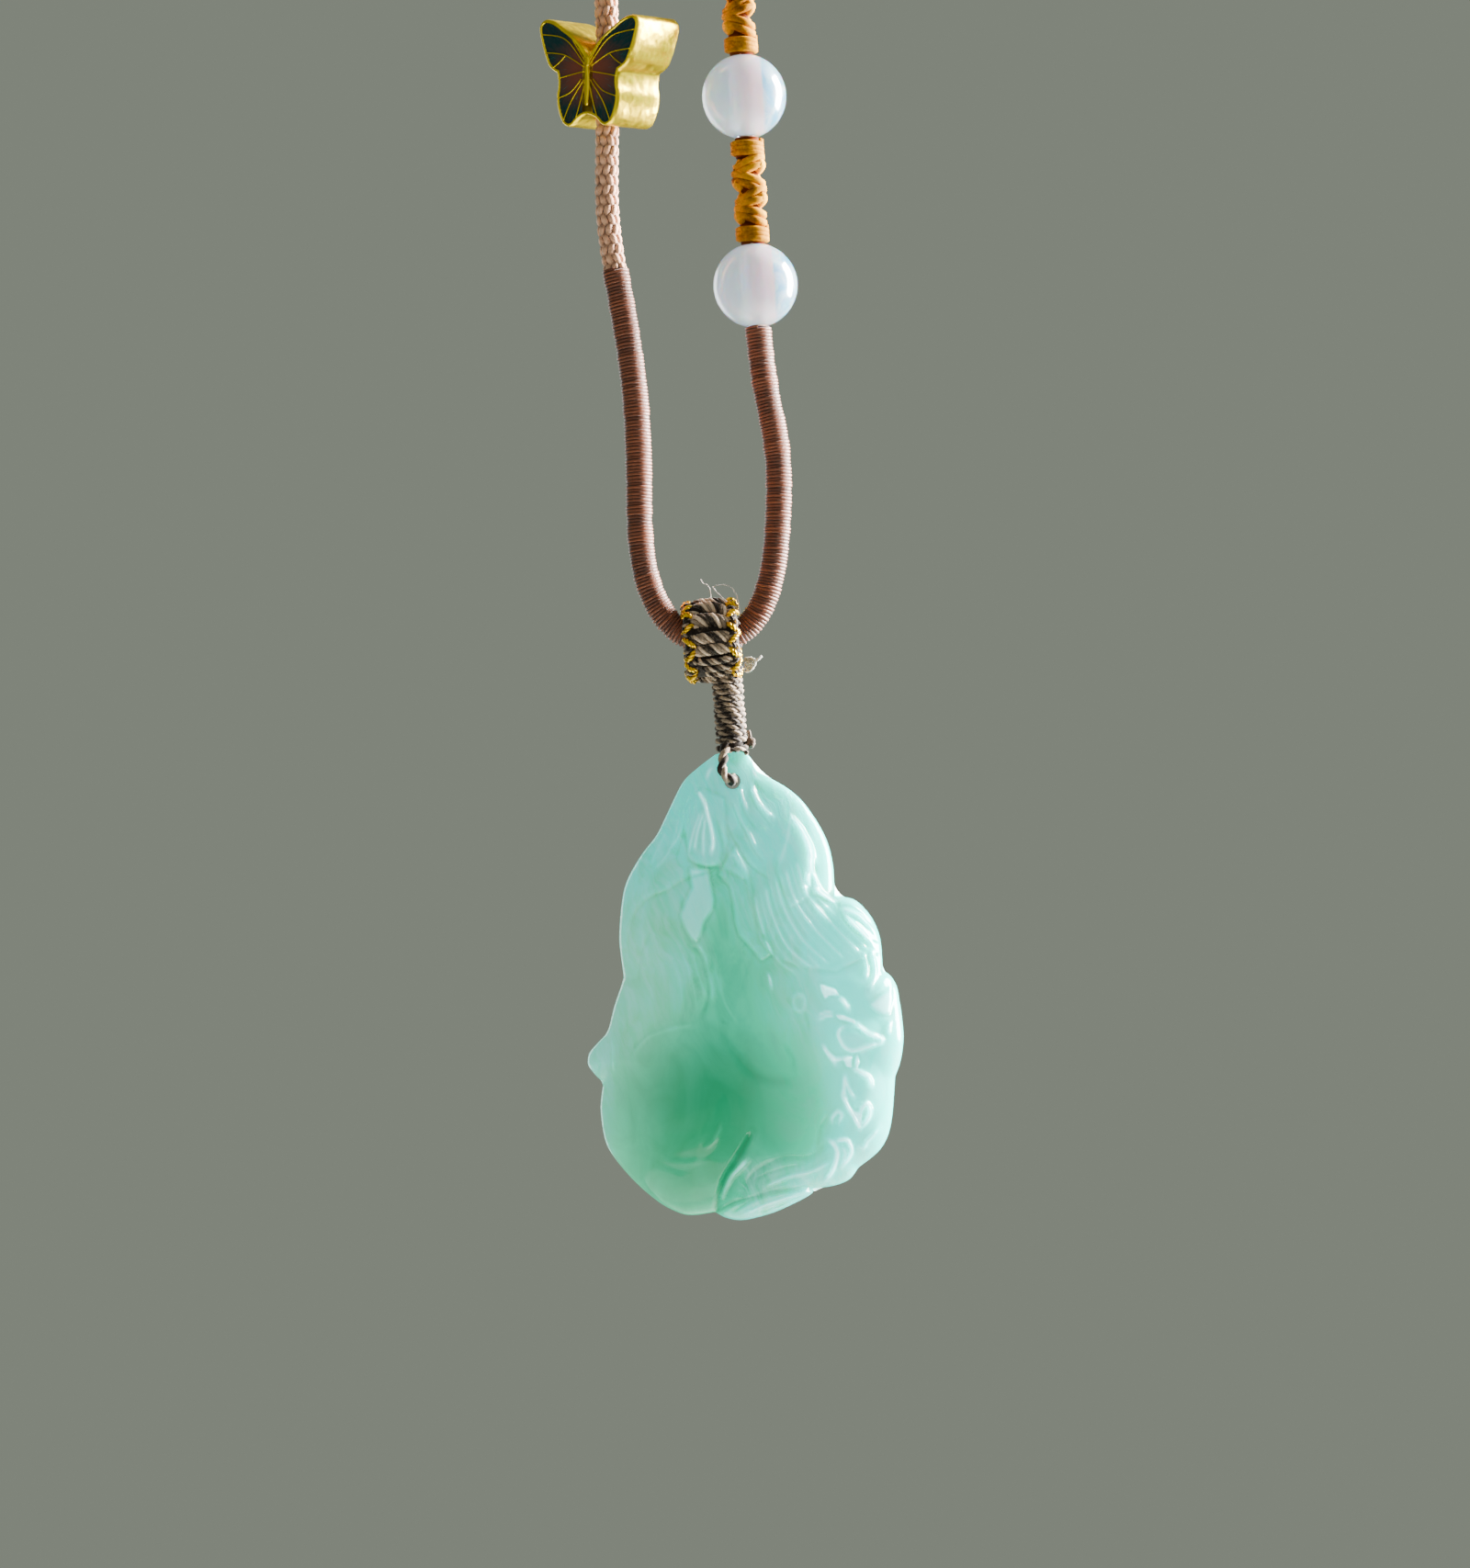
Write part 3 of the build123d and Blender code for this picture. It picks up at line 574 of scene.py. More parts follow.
class PENDANT_OT_stage(bpy.types.Operator):
    """Camera at the photograph's angle, plain backdrop and floor, and soft light from the right"""
    bl_idname = "pendant.stage"
    bl_label = "Stage"

    def execute(self, context):
        view = settings("view")
        lens = bpy.data.cameras.new("camera")
        lens.sensor_width = 36.0
        lens.lens = lens.sensor_width * view.distance / view.height
        lens.clip_start = 0.01
        camera = add_object("camera", lens)
        right = Vector((math.cos(view.roll), 0, -math.sin(view.roll)))
        up = Vector((math.sin(view.roll), 0, math.cos(view.roll)))
        turn = Matrix((right, up, right.cross(up))).transposed().to_4x4()
        middle = Vector((view.across, 0, -view.down))
        camera.matrix_world = Matrix.Translation(middle + FRONT * view.distance) @ turn
        context.scene.camera = camera
        for name, place, size, share, tint in LIGHTS:
            area = bpy.data.lights.new(name, "AREA")
            area.shape, area.size, area.size_y = "RECTANGLE", *size
            area.energy, area.color = view.window * share, tint
            lamp = add_object(name, area)
            lamp.location = middle + Vector(place)
            lamp.rotation_euler = (middle - lamp.location).to_track_quat("-Z", "Y").to_euler()

        world = context.scene.world or bpy.data.worlds.new("backdrop")
        context.scene.world = world
        world.use_nodes = True
        sky = world.node_tree.nodes["Background"]
        sky.inputs["Color"].default_value = (*view.backdrop, 1)
        sky.inputs["Strength"].default_value = 1.0

        floor_radius, floor_level, facets = 0.4, -0.75, 96
        work = bmesh.new()
        bmesh.ops.create_circle(work, cap_ends=True, radius=floor_radius, segments=facets,
                                matrix=Matrix.Translation((0, 0, floor_level)))
        ground = bpy.data.meshes.new("floor")
        work.to_mesh(ground)
        work.free()
        material, tree, shader = new_material("floor_paint", Roughness=0.8)
        darker = tuple(part * 0.94 for part in view.floor)
        tree.links.new(mix_colours(tree, noise(tree, 60.0, 3.0)[0], darker, tuple(view.floor)),
                       shader.inputs["Base Color"])
        ground.materials.append(material)
        disc = add_object("floor", ground)
        return {"FINISHED"}


# Brown cord

class PENDANT_OT_braided_cord(bpy.types.Operator):
    """Plain round braid from the winding on the left, over the peg and into the sleeve"""
    bl_idname = "pendant.braided_cord"
    bl_label = "Braided cord"

    def execute(self, context):
        sizes = settings("cords")
        line = flat_line("braided_cord", BRAID_STOPS)
        shape = Shape()
        carriers, pitch, thick, core = 16, 15.0 * MM, 0.19 * MM, 0.74 * MM
        steps_per_crossing = 3.4
        steps = round(line.length / pitch * carriers * steps_per_crossing)
        middle, lift = sizes.braid / 2 - 0.36 * MM, 0.16 * MM
        draw = random.Random(5)
        for k in range(carriers):
            way_round = 1 if k % 2 else -1
            start = TURN * (k // 2) / (carriers // 2)
            places, wide, shades = [], [], []
            tone = draw.uniform(0.4, 0.55)
            for n in range(steps + 1):
                distance = line.length * n / steps
                turn = TURN * distance / pitch
                over = way_round * math.cos(carriers / 2 * turn)
                places.append(around(line, distance, way_round * turn + start,
                                     middle + lift * over))
                wide.append((0.29 + 0.06 * over) * MM)
                # Painted light where a strand crosses over, painted shade where it passes under.
                shades.append(tone + 0.6 * over)
            shape.tube(*zip(*places), wide, thick, 5, shades)
        # The dark core shows between the strands as painted shade.
        shape.core(line, 200, core, 10, -0.2)
        material = thread_material("brown_braid_thread", sizes.braid_colour, 0.06, 2.0, gloss=0.4)
        made = piece("braid", shape, material, "necklace", "brown_braid", "braided_cord")
        return {"FINISHED"}


class PENDANT_OT_wrapped_cord(bpy.types.Operator):
    """Cord wound over with fine thread, from the lower bead through the bail and up on the left"""
    bl_idname = "pendant.wrapped_cord"
    bl_label = "Wound cord"

    def execute(self, context):
        sizes = settings("cords")
        line = flat_line("wrapped_cord", WRAP_STOPS)
        shape = Shape()
        thread, core = 0.168 * MM, 1.06 * MM
        draw = random.Random(11)
        turns, steps = round(line.length / sizes.winding), 18
        wobble = [draw.uniform(-0.035, 0.035) * MM for _ in range(turns + 2)]
        slip = [draw.uniform(-0.05, 0.05) * sizes.winding for _ in range(turns + 2)]
        places, thick, shades = [], [], []
        for k in range(turns * steps + 1):
            full, share = k // steps, k % steps / steps
            distance = line.length * k / (turns * steps) + blend(slip, full, share)
            swell = blend(wobble, full, share)
            places.append(around(line, min(line.length, max(0, distance)), TURN * share,
                                 sizes.wrap / 2 - thread + swell))
            thick.append(thread + swell / 2)
            # Painted light on turns that swell outwards, painted shade on those that sink.
            shades.append(0.55 + 5 * swell / MM)
        shape.tube(*zip(*places), thread * 0.9, thick, 6, shades)
        # The dark core shows between the turns as painted shade.
        shape.core(line, 120, core, 14, -0.2)
        material = thread_material("brown_winding_thread", sizes.wrap_colour, 0.2, 1.6, 5000.0,
                                   0.3, 0.4, 0.5)
        made = piece("winding", shape, material, "necklace", "brown_wrap", "wrapped_cord")
        return {"FINISHED"}


# Orange knots, beads and sleeve

def plain_turns(shape, line, start, end, width, draw):
    """A few close turns of the same thread, as at the end of a knotted stretch."""
    turns, steps = 3, 22
    thread = 0.52 * (end - start) / turns
    places = []
    for k in range(turns * steps + 1):
        distance = start + thread + (end - start - 2 * thread) * (k / (turns * steps))
        radius = 0.48 * width - thread + draw.uniform(-0.02, 0.02) * MM
        places.append(around(line, distance, TURN / 4 - TURN * k / steps, radius))
    shape.tube(*zip(*places), thread, thread, 6)
    # The dark core shows between the turns as painted shade.
    shape.core(line, 1, 0.34 * width, 12, 0.0, start, end)


def knot_row(shape, line, seed):
    """Square knots round a core: slanted bars across, and a loop that stands out at each side."""
    width, pitch = settings("cords").knotted, settings("cords").knot
    draw = random.Random(seed)
    start, end = 1.1 * pitch, line.length - 1.1 * pitch
    plain_turns(shape, line, 0.0, start, width, draw)
    plain_turns(shape, line, end, end + start, width, draw)
    count = max(1, round((end - start) / pitch))
    pitch = (end - start) / count
    bar, loop, bar_steps, loop_steps = 0.1 * width, 0.13 * width, 20, 10
    reach = width / 2 - bar
    for k in range(count):
        middle = start + (k + 0.5) * pitch
        lead = 1 if k % 2 else -1
        swell = draw.uniform(0.93, 1.04)
        for strand in (-1, 1):
            tilt = lead * draw.uniform(0.2, 0.42) * pitch
            tone = draw.uniform(0.35, 0.7)
            places, shades = [], []
            for turn in turns_of(bar_steps):
                shift = tilt * math.cos(turn) + strand * pitch * (0.22 + 0.04 * math.sin(turn * 2))
                bulge = 0.91 + 0.04 * math.cos(2 * turn) + 0.05 * lead * math.cos(turn)
                places.append(around(line, middle + shift, TURN / 4 - turn, reach * bulge * swell))
                shades.append(tone + 0.12 * math.sin(3 * turn + k))
            shape.tube(*zip(*places), bar * 1.2, bar, 6, shades, closed=True)
        for sign in (-1, 1):
            strong = 1.0 if lead * sign > 0 else 0.45
            span = (0.62 + 0.3 * strong) * pitch
            turn_in = draw.uniform(-0.25, 0.35)
            centres, outs, wide = [], [], []
            for n in range(loop_steps):
                share = n / (loop_steps - 1) - 0.5
                point, _, forward, side = line.at(middle + share * span)
                bow = math.cos(math.pi * share * 0.96)
                out = (side * sign + forward * (0.4 + turn_in * share)).normalized()
                centres.append(point + out * (width / 2 - loop - 0.22 * width * (1 - bow * strong)))
                outs.append(out)
                wide.append(loop * (0.9 + 0.7 * bow * strong))
            # Loops lighter than the bars: painted light where they stand out at the sides.
            shape.tube(centres, outs, wide, loop, 6, draw.uniform(0.6, 0.85))
    # The dark core shows between the knots as painted shade.
    shape.core(line, count * 2, 0.3 * width, 10, -0.1, start, end)


class PENDANT_OT_knotted_cord(bpy.types.Operator):
    """Orange knotted cord between the beads and up to the sleeve"""
    bl_idname = "pendant.knotted_cord"
    bl_label = "Knotted cord"

    def execute(self, context):
        material = thread_material("orange_knot_thread", settings("cords").knot_colour, 0.12, 1.9,
                                   2500.0, 0.0, gloss=0.05)
        low, high = [spot(*centre) for centre in BEAD_CENTRES]
        way = (high - low).normalized() * (settings("beads").size / 2 - 0.05 * MM)
        for end, line, seed in (("upper", flat_line("knotted_cord_upper", KNOT_STOPS), 3),
                                ("lower", Line([low + way, high - way]), 8)):
            shape = Shape()
            knot_row(shape, line, seed)
            piece("knots_" + end, shape, material, "necklace", "orange_knots",
                  "knotted_cord_" + end)
        return {"FINISHED"}


class PENDANT_OT_beads(bpy.types.Operator):
    """Two drilled beads of milky white stone, and the thread that shows inside them"""
    bl_idname = "pendant.beads"
    bl_label = "Beads"

    def execute(self, context):
        stone = self.stone()
        thread = thread_material("pale_core_thread", settings("cords").core_colour, 0.8, 1.1)
        low, high = [spot(*centre) for centre in BEAD_CENTRES]
        for name, centre, way in (("lower", low, high - low),
                                  ("upper", high, spot(*KNOT_STOPS[0]) - high)):
            way = way.normalized()
            radius = settings("beads").size / 2
            side = way.cross(FRONT)
            outs = [FRONT * math.cos(turn) + side * math.sin(turn) for turn in turns_of(72)]
            shape = Shape()
            shape.grid([[centre + out * r + way * h for out in outs]
                        for r, h in self.profile(radius)], closed_rows=True)
            # The shade mark holds each point's place across the bead, to the right of its middle;
            # the stone's painted light follows it.
            shape.shades = [(p.x - centre.x) / radius for p in shape.points]
            piece("bead_" + name + "_stone", shape, stone, "necklace", "milky_stone",
                  "bead_" + name)
            line = Line([centre - way * radius * 0.97, centre + way * radius * 0.97])
            shape = Shape()
            shape.rope(line, 4, 0.36 * MM, 0.36 * MM, 6 * MM, 8, 16, (0.4, 0.6, 0.5, 0.7))
            piece("core_" + name + "_strands", shape, thread, "necklace", "pale_thread",
                  "core_thread_" + name)
        return {"FINISHED"}

    def profile(self, radius):
        """Half section of a bead, as distances from its axis and along it; the bore is broken."""
        bore, edge, steps = settings("beads").bore / 2, 0.18 * MM, 48
        face = math.sqrt(radius ** 2 - (bore + edge) ** 2)
        fall = math.asin((bore + edge) / radius)
        turns = [fall + (math.pi - 2 * fall) * k / steps for k in range(steps + 1)]
        found = [(radius * math.sin(turn), radius * math.cos(turn)) for turn in turns]
        found += [(bore + edge * (1 - math.sin(turn)), -face + edge * (1 - math.cos(turn)))
                  for turn in (math.pi / 6, math.pi / 3, math.pi / 2)]
        found += [(bore, (face - edge) * share) for share in (-0.5, 0, 0.5, 1)]
        return found + [(bore + edge * (1 - math.cos(turn)), face - edge * (1 - math.sin(turn)))
                        for turn in (math.pi / 6, math.pi / 3)]

    def stone(self):
        """Milky stone with a painted glow, and painted light: rosier towards the right, then
        clearer and bluer on its right side.
        """
        # The emission paints a pale blue glow.
        made, tree, shader = new_material(
            "milky_bead_stone", Roughness=0.14, IOR=1.5, Transmission_Weight=0.48,
            Coat_Weight=1.0, Coat_Roughness=0.02, Subsurface_Weight=1.0, Subsurface_Scale=0.004,
            Emission_Color=(0.7, 0.88, 1, 1), Emission_Strength=0.2)
        base = settings("beads").stone
        across = mark_of(tree, "shade")
        clouds = clouds_in(tree, 160.0)["Clouds"]
        body = mix_colours(tree, clouds, base, tuple(min(1, part * 1.12) for part in base))
        # Painted light: rosier from the left of the middle towards the right.
        body = mix_colours(tree, stretch(tree, across, -0.3, 0.3, 0.0, 0.6), body,
                           colour_of("ffe9f6"))
        # Painted light: clear, bluer glass on the right side, where the window light falls.
        lit_clear_side = mix_colours(tree, clouds_in(tree, 420.0)["Clouds"], colour_of("58b4e0"),
                             colour_of("dcf4ff"))
        body = mix_colours(tree, stretch(tree, across, 0.4, 0.47), body, lit_clear_side)
        tree.links.new(body, shader.inputs["Base Color"])
        tree.links.new(stretch(tree, clouds, 0.0, 1.0, 0.1, 0.26), shader.inputs["Roughness"])
        return made


class PENDANT_OT_sleeve(bpy.types.Operator):
    """Plain gilt sleeve that closes the loop"""
    bl_idname = "pendant.sleeve"
    bl_label = "Closing sleeve"

    def execute(self, context):
        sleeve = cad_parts["closing_sleeve"]
        sleeve.data.materials.clear()
        sleeve.data.materials.append(gilt_material("gilt_sleeve_metal", settings("butterfly").gold,
                                                   0.24, 0.00004))
        return {"FINISHED"}


# Butterfly

# Right half of its outline, as shares of half the width and half the height. Each arc runs
# through three points in a row, and the next one starts where it ends.
WING_OUTLINE = [
    (0.0, 0.27), (0.28, 0.64), (0.5, 0.81), (0.675, 0.94), (0.85, 1.0), (0.958, 0.94),
    (0.996, 0.79), (0.93, 0.5), (0.807, 0.148), (0.72, 0.055), (0.63, 0.0), (0.6, -0.148),
    (0.625, -0.37), (0.59, -0.704), (0.5, -0.93), (0.395, -1.0), (0.263, -0.965),
    (0.12, -0.83), (0.0, -0.79)]
# Gold wires between the cells of one wing pair, in the same shares, from the body outwards.
WING_WIRES = [
    [(0.05, 0.2), (0.18, 0.4), (0.31, 0.6)],
    [(0.05, 0.12), (0.27, 0.44), (0.45, 0.62), (0.66, 0.69), (0.95, 0.72)],
    [(0.06, 0.08), (0.34, 0.27), (0.56, 0.36), (0.88, 0.38)],
    [(0.44, 0.31), (0.56, 0.17), (0.72, 0.08)],
    [(0.06, 0.0), (0.39, -0.06), (0.6, -0.11)],
    [(0.12, -0.14), (0.26, -0.33), (0.42, -0.42), (0.61, -0.48)],
    [(0.06, -0.15), (0.25, -0.42), (0.39, -0.68), (0.47, -0.91)],
    [(0.05, -0.25), (0.12, -0.55), (0.22, -0.86)],
]
FEELERS = [(0.03, 0.22), (0.1, 0.36), (0.2, 0.44)]
# Middle of the butterfly over the pendant's axis, the way that the cord takes through it (across
# and up), and how far it leans back, in millimetres and degrees.
BUTTERFLY_PLACE, BUTTERFLY_WAY, BUTTERFLY_NOD = (-5.83, 54.25), (1.0, 10.5), 5
# Ridges of its body: top and bottom as shares of half the height, half width and rise in
# millimetres.
BODY_RIDGES = [(0.16, -0.62, 0.34, 0.16), (0.27, 0.1, 0.42, 0.16)]


def arc_points(first, middle, last, steps):
    """Points on the circle arc through three points, without the last one."""
    (ax, ay), (bx, by), (cx, cy) = first, middle, last
    d = 2 * (ax * (by - cy) + bx * (cy - ay) + cx * (ay - by))
    squares = [x * x + y * y for x, y in (first, middle, last)]
    ox = (squares[0] * (by - cy) + squares[1] * (cy - ay) + squares[2] * (ay - by)) / d
    oy = (squares[0] * (cx - bx) + squares[1] * (ax - cx) + squares[2] * (bx - ax)) / d
    angles = [math.atan2(y - oy, x - ox) for x, y in (first, middle, last)]
    sweep = (angles[2] - angles[0]) % TURN
    if (angles[1] - angles[0]) % TURN > sweep:
        sweep -= TURN
    radius = math.hypot(ax - ox, ay - oy)
    turns = [angles[0] + sweep * k / steps for k in range(steps)]
    return [(ox + radius * math.cos(turn), oy + radius * math.sin(turn)) for turn in turns]


def wing_loop(width, height):
    """The butterfly's whole outline, anticlockwise from the bottom of its body."""
    points = [(x * width / 2, z * height / 2) for x, z in WING_OUTLINE]
    right = []
    for k in range(0, len(points) - 2, 2):
        right += arc_points(*points[k:k + 3], 7)
    right.append(points[-1])
    left = [(-x, z) for x, z in right[1:-1]]
    return right[::-1] + left


def shrunk(loop, inset):
    """The loop moved inwards, with sharp corners held back."""
    found = []
    for k, (x, y) in enumerate(loop):
        (px, py), (nx, ny) = loop[k - 1], loop[(k + 1) % len(loop)]
        a = Vector((x - px, y - py)).normalized()
        b = Vector((nx - x, ny - y)).normalized()
        normal = Vector((-a.y - b.y, a.x + b.x))
        stretch = 2 / max(normal.length_squared, 1.2)
        found.append((x + normal.x * inset * stretch, y + normal.y * inset * stretch))
    return found


class PENDANT_OT_butterfly(bpy.types.Operator):
    """Gilt butterfly bead with enamelled wings, threaded on the left strand"""
    bl_idname = "pendant.butterfly"
    bl_label = "Butterfly"

    def execute(self, context):
        sizes = settings("butterfly")
        x, z = BUTTERFLY_PLACE
        middle = spot(x, PIVOT.z + z)
        self.set_up = (Matrix.Translation(middle)
                       @ Matrix.Rotation(math.atan2(*BUTTERFLY_WAY), 4, "Y")
                       @ Matrix.Rotation(math.radians(BUTTERFLY_NOD), 4, "X")
                       @ Matrix.Rotation(sizes.turn, 4, "Z"))
        self.half, rim = sizes.depth / 2, 0.3 * MM
        loop = wing_loop(sizes.width, sizes.height)
        gilt = gilt_material("gilt_butterfly_metal", sizes.gold, 0.33, 0.0004, 520.0)
        gold = piece("butterfly_gold", self.case(loop, rim), gilt, "necklace", "gilt_metal",
                     "butterfly_body")
        way = Vector((BUTTERFLY_WAY[0], 0, BUTTERFLY_WAY[1])).normalized()
        drill(gold, middle - way * 9 * MM, middle + way * 9 * MM, way.cross(FRONT),
              settings("cords").braid / 2 + 0.06 * MM, "EXACT")
        inner = shrunk(loop, rim + 0.05 * MM)
        for sign, face in ((-1, "front"), (1, "back")):
            for across, side in ((-1, "left"), (1, "right")):
                self.enamel(inner, sign, across, "enamel_" + face + "_" + side)
        piece("butterfly_wires", self.wires(), gilt, "necklace", "gilt_metal")
        return {"FINISHED"}

    def case(self, loop, rim):
        """The gold body: rounded edges, and a sunk field on each face."""
        pocket, soft, slope = 0.26 * MM, 0.42 * MM, 0.03 * MM
        edge = [(soft * (1 - math.cos(turn)) * 0.6, soft * (1 - math.sin(turn)))
                for turn in turns_of(16)[:5]] + [(rim, 0), (rim + slope, pocket)]
        walls = [(0, soft - self.half + 2 * (self.half - soft) * k / 8) for k in range(1, 8)]
        rings = ([(inset, depth - self.half) for inset, depth in reversed(edge)] + walls
                 + [(inset, self.half - depth) for inset, depth in edge])
        shape = Shape()
        shape.grid([[self.set_up @ Vector((x, level, z)) for x, z in shrunk(loop, inset)]
                    for inset, level in rings])
        count = len(loop)
        shape.faces.append(tuple(range(count)))
        shape.faces.append(tuple(range(len(shape.points) - count, len(shape.points))))
        return shape

    def wires(self):
        """Fine wires between the cells, feelers, and the ridges of the body."""
        sizes = settings("butterfly")
        shape = Shape()
        sunk, wide, thick, ridge_steps = 0.03 * MM, 0.055 * MM, 0.06 * MM, 12
        for sign in (-1, 1):
            level = sign * (self.half - sunk)
            out = (self.set_up.to_3x3() @ Vector((0, sign, 0))).normalized()
            for across in (-1, 1):
                for stops in WING_WIRES + [FEELERS]:
                    run = smooth_points("wire", [
                        (across * x * sizes.width / 2 / MM, level / MM, z * sizes.height / 2 / MM)
                        for x, z in stops])
                    run = [self.set_up @ p for p in run[::2]]
                    shape.tube(run, [out] * len(run), wide, thick)
            for top, bottom, half, rise in BODY_RIDGES:
                run = [self.set_up @ Vector((0, level, z * sizes.height / 2))
                       for z in np.linspace(top, bottom, ridge_steps)]
                taper = [half * MM * (0.45 + 0.55 * math.sin(math.pi * (k + 0.5) / ridge_steps))
                         for k in range(ridge_steps)]
                shape.tube(run, [out] * ridge_steps, taper, rise * MM, 8)
        return shape

    def enamel(self, loop, sign, across, name):
        """One wing pair's enamel: a flat field that swells a little between its edges."""
        sizes, spine, low, swollen = settings("butterfly"), 0.42 * MM, 0.16 * MM, 0.08 * MM
        rim = [Vector((max(spine, x * across) * across, 0, z)) for x, z in loop
               if x * across > spine * 0.98]
        work = bmesh.new()
        work.faces.new([work.verts.new(p) for p in rim])
        bmesh.ops.triangulate(work, faces=work.faces)
        bmesh.ops.subdivide_edges(work, edges=work.edges, cuts=3, use_grid_fill=True)
        mark = work.verts.layers.float_vector.new("wing_place")
        for vertex in work.verts:
            x, _, z = vertex.co
            depth = min((vertex.co - p).length for p in rim)
            swell = math.sqrt(1 - (1 - min(1, depth / (0.6 * MM))) ** 2)
            vertex[mark] = (abs(x) / sizes.width * 2, z / sizes.height * 2, 0)
            level = sign * (self.half - low + swollen * swell)
            vertex.co = self.set_up @ Vector((x, level, z))
        mesh = bpy.data.meshes.new(name + "_glaze")
        bmesh.ops.recalc_face_normals(work, faces=work.faces)
        out = self.set_up.to_3x3() @ Vector((0, sign, 0))
        if sum(face.normal.dot(out) for face in work.faces) < 0:
            bmesh.ops.reverse_faces(work, faces=work.faces)
        work.to_mesh(mesh)
        work.free()
        add_piece(mesh, self.glaze(), "necklace", "wing_enamel", name)

    def glaze(self):
        """Enamel that turns from rust brown at the body to dark teal at the tips, streaked."""
        made, tree, shader = new_material("wing_glaze", Roughness=0.2, Specular_IOR_Level=0.2,
                                          Coat_Weight=0.2, Coat_Roughness=0.05)
        if tree is None:
            return made
        sizes = settings("butterfly")
        place = add_node(tree, "Attribute", attribute_name="wing_place").outputs["Vector"]
        x, z, _ = add_node(tree, "SeparateXYZ", {0: place}).outputs
        square = maths(tree, "MULTIPLY_ADD", x, x)
        tree.links.new(maths(tree, "MULTIPLY", z, z), square.node.inputs[2])
        reach = maths(tree, "POWER", square)
        polar = add_node(tree, "CombineXYZ", {
            0: maths(tree, "MULTIPLY", maths(tree, "ARCTAN2", z, x), 7.0),
            1: maths(tree, "MULTIPLY", reach, 1.2)}).outputs[0]
        streaks = noise(tree, 2.6, 5.0, 0.62, Vector=polar)[0]
        shift = maths(tree, "MULTIPLY", maths(tree, "SUBTRACT", streaks, 0.5), 0.9)
        tint = maths(tree, "ADD", stretch(tree, reach, 0.25, 0.8), shift, True)
        body = mix_colours(tree, tint, sizes.wing_root, sizes.wing_tip)
        body = mix_colours(tree, stretch(tree, streaks, 0.6, 0.75, 0.0, 0.55), body,
                           colour_of("5a9a95"))
        tree.links.new(body, shader.inputs["Base Color"])
        bump(tree, shader, streaks, 0.15, 0.00005)
        return made


# Bail and stem

# Rows of the bail in front, in millimetres: height over its axis, left and right ends, half
# thickness, bow upwards in the middle, and rise from left to right.
FRONT_ROWS = [
    (3.35, -2.0, 1.35, 0.62, 0.7, -0.15), (2.05, -2.1, 1.25, 0.74, 0.3, -0.12),
    (0.15, -1.95, 1.35, 0.6, 0.12, 0.1), (-1.1, -1.8, 1.4, 0.58, 0.05, 0.1),
    (-2.2, -1.55, 1.45, 0.36, -0.05, 0.1), (-2.9, -1.2, 1.45, 0.34, -0.05, 0.12),
    (-3.42, -0.9, 1.45, 0.32, -0.05, 0.12), (-3.8, -0.6, 1.45, 0.32, 0.0, 0.1)]
# The other rows, round the back: the first and last angle from the top and their number, then
# left and right end, half thickness and bow of each.
BACK_ROWS, BACK_ROW = (3.35, TURN + 0.2, 9), (-1.95, 1.45, 0.6, 0.0)
# Loops of melted thread on the right: across, forward and over the bail's axis.
MELTED_LOOPS = [
    [(2.75, -0.3, -2.3), (3.3, -0.3, -1.95), (3.75, -0.5, -2.3), (4.1, -0.4, -2.1),
     (4.4, -0.2, -1.8)],
    [(2.75, -0.3, -1.95), (3.3, -0.3, -1.9), (3.85, -0.4, -2.2), (3.5, -0.5, -2.9),
     (2.9, -0.3, -3.0)],
    [(2.75, -0.3, -2.2), (3.1, -0.5, -2.2), (3.6, -0.5, -2.6), (3.1, -0.5, -3.3),
     (2.7, -0.3, -3.1)]]
TIE_TAIL = [(2.2, 0.6, -9.6), (2.6, 0.2, -9.9), (2.75, 0.0, -9.2), (2.6, 0.1, -8.7)]
# Pale wisps over the bail: half thickness, and the same kind of stops.
WISPS = [
    (0.035, [(-0.81, -0.6, 5.86), (-0.7, -0.7, 5.4), (-0.1, -0.8, 5.25), (0.1, -0.8, 4.3),
             (0.0, -0.9, 3.4)]),
    (0.06, [(0.26, -1.0, 5.02), (0.5, -1.1, 4.6), (0.95, -1.1, 4.08), (1.7, -1.0, 3.3)]),
    (0.03, [(0.4, -1.1, 5.07), (1.3, -1.2, 5.2), (1.9, -1.2, 4.95), (2.3, -1.2, 4.6)]),
    (0.06, [(2.1, -1.2, 4.8), (2.5, -1.2, 4.1), (2.6, -1.2, 3.2), (2.68, -1.0, 2.2)])]
# Ends of the gold edging's stitches at each side, from the middle outwards.
EDGES = {"left": (-1.75, -2.75), "right": (1.35, 2.35)}


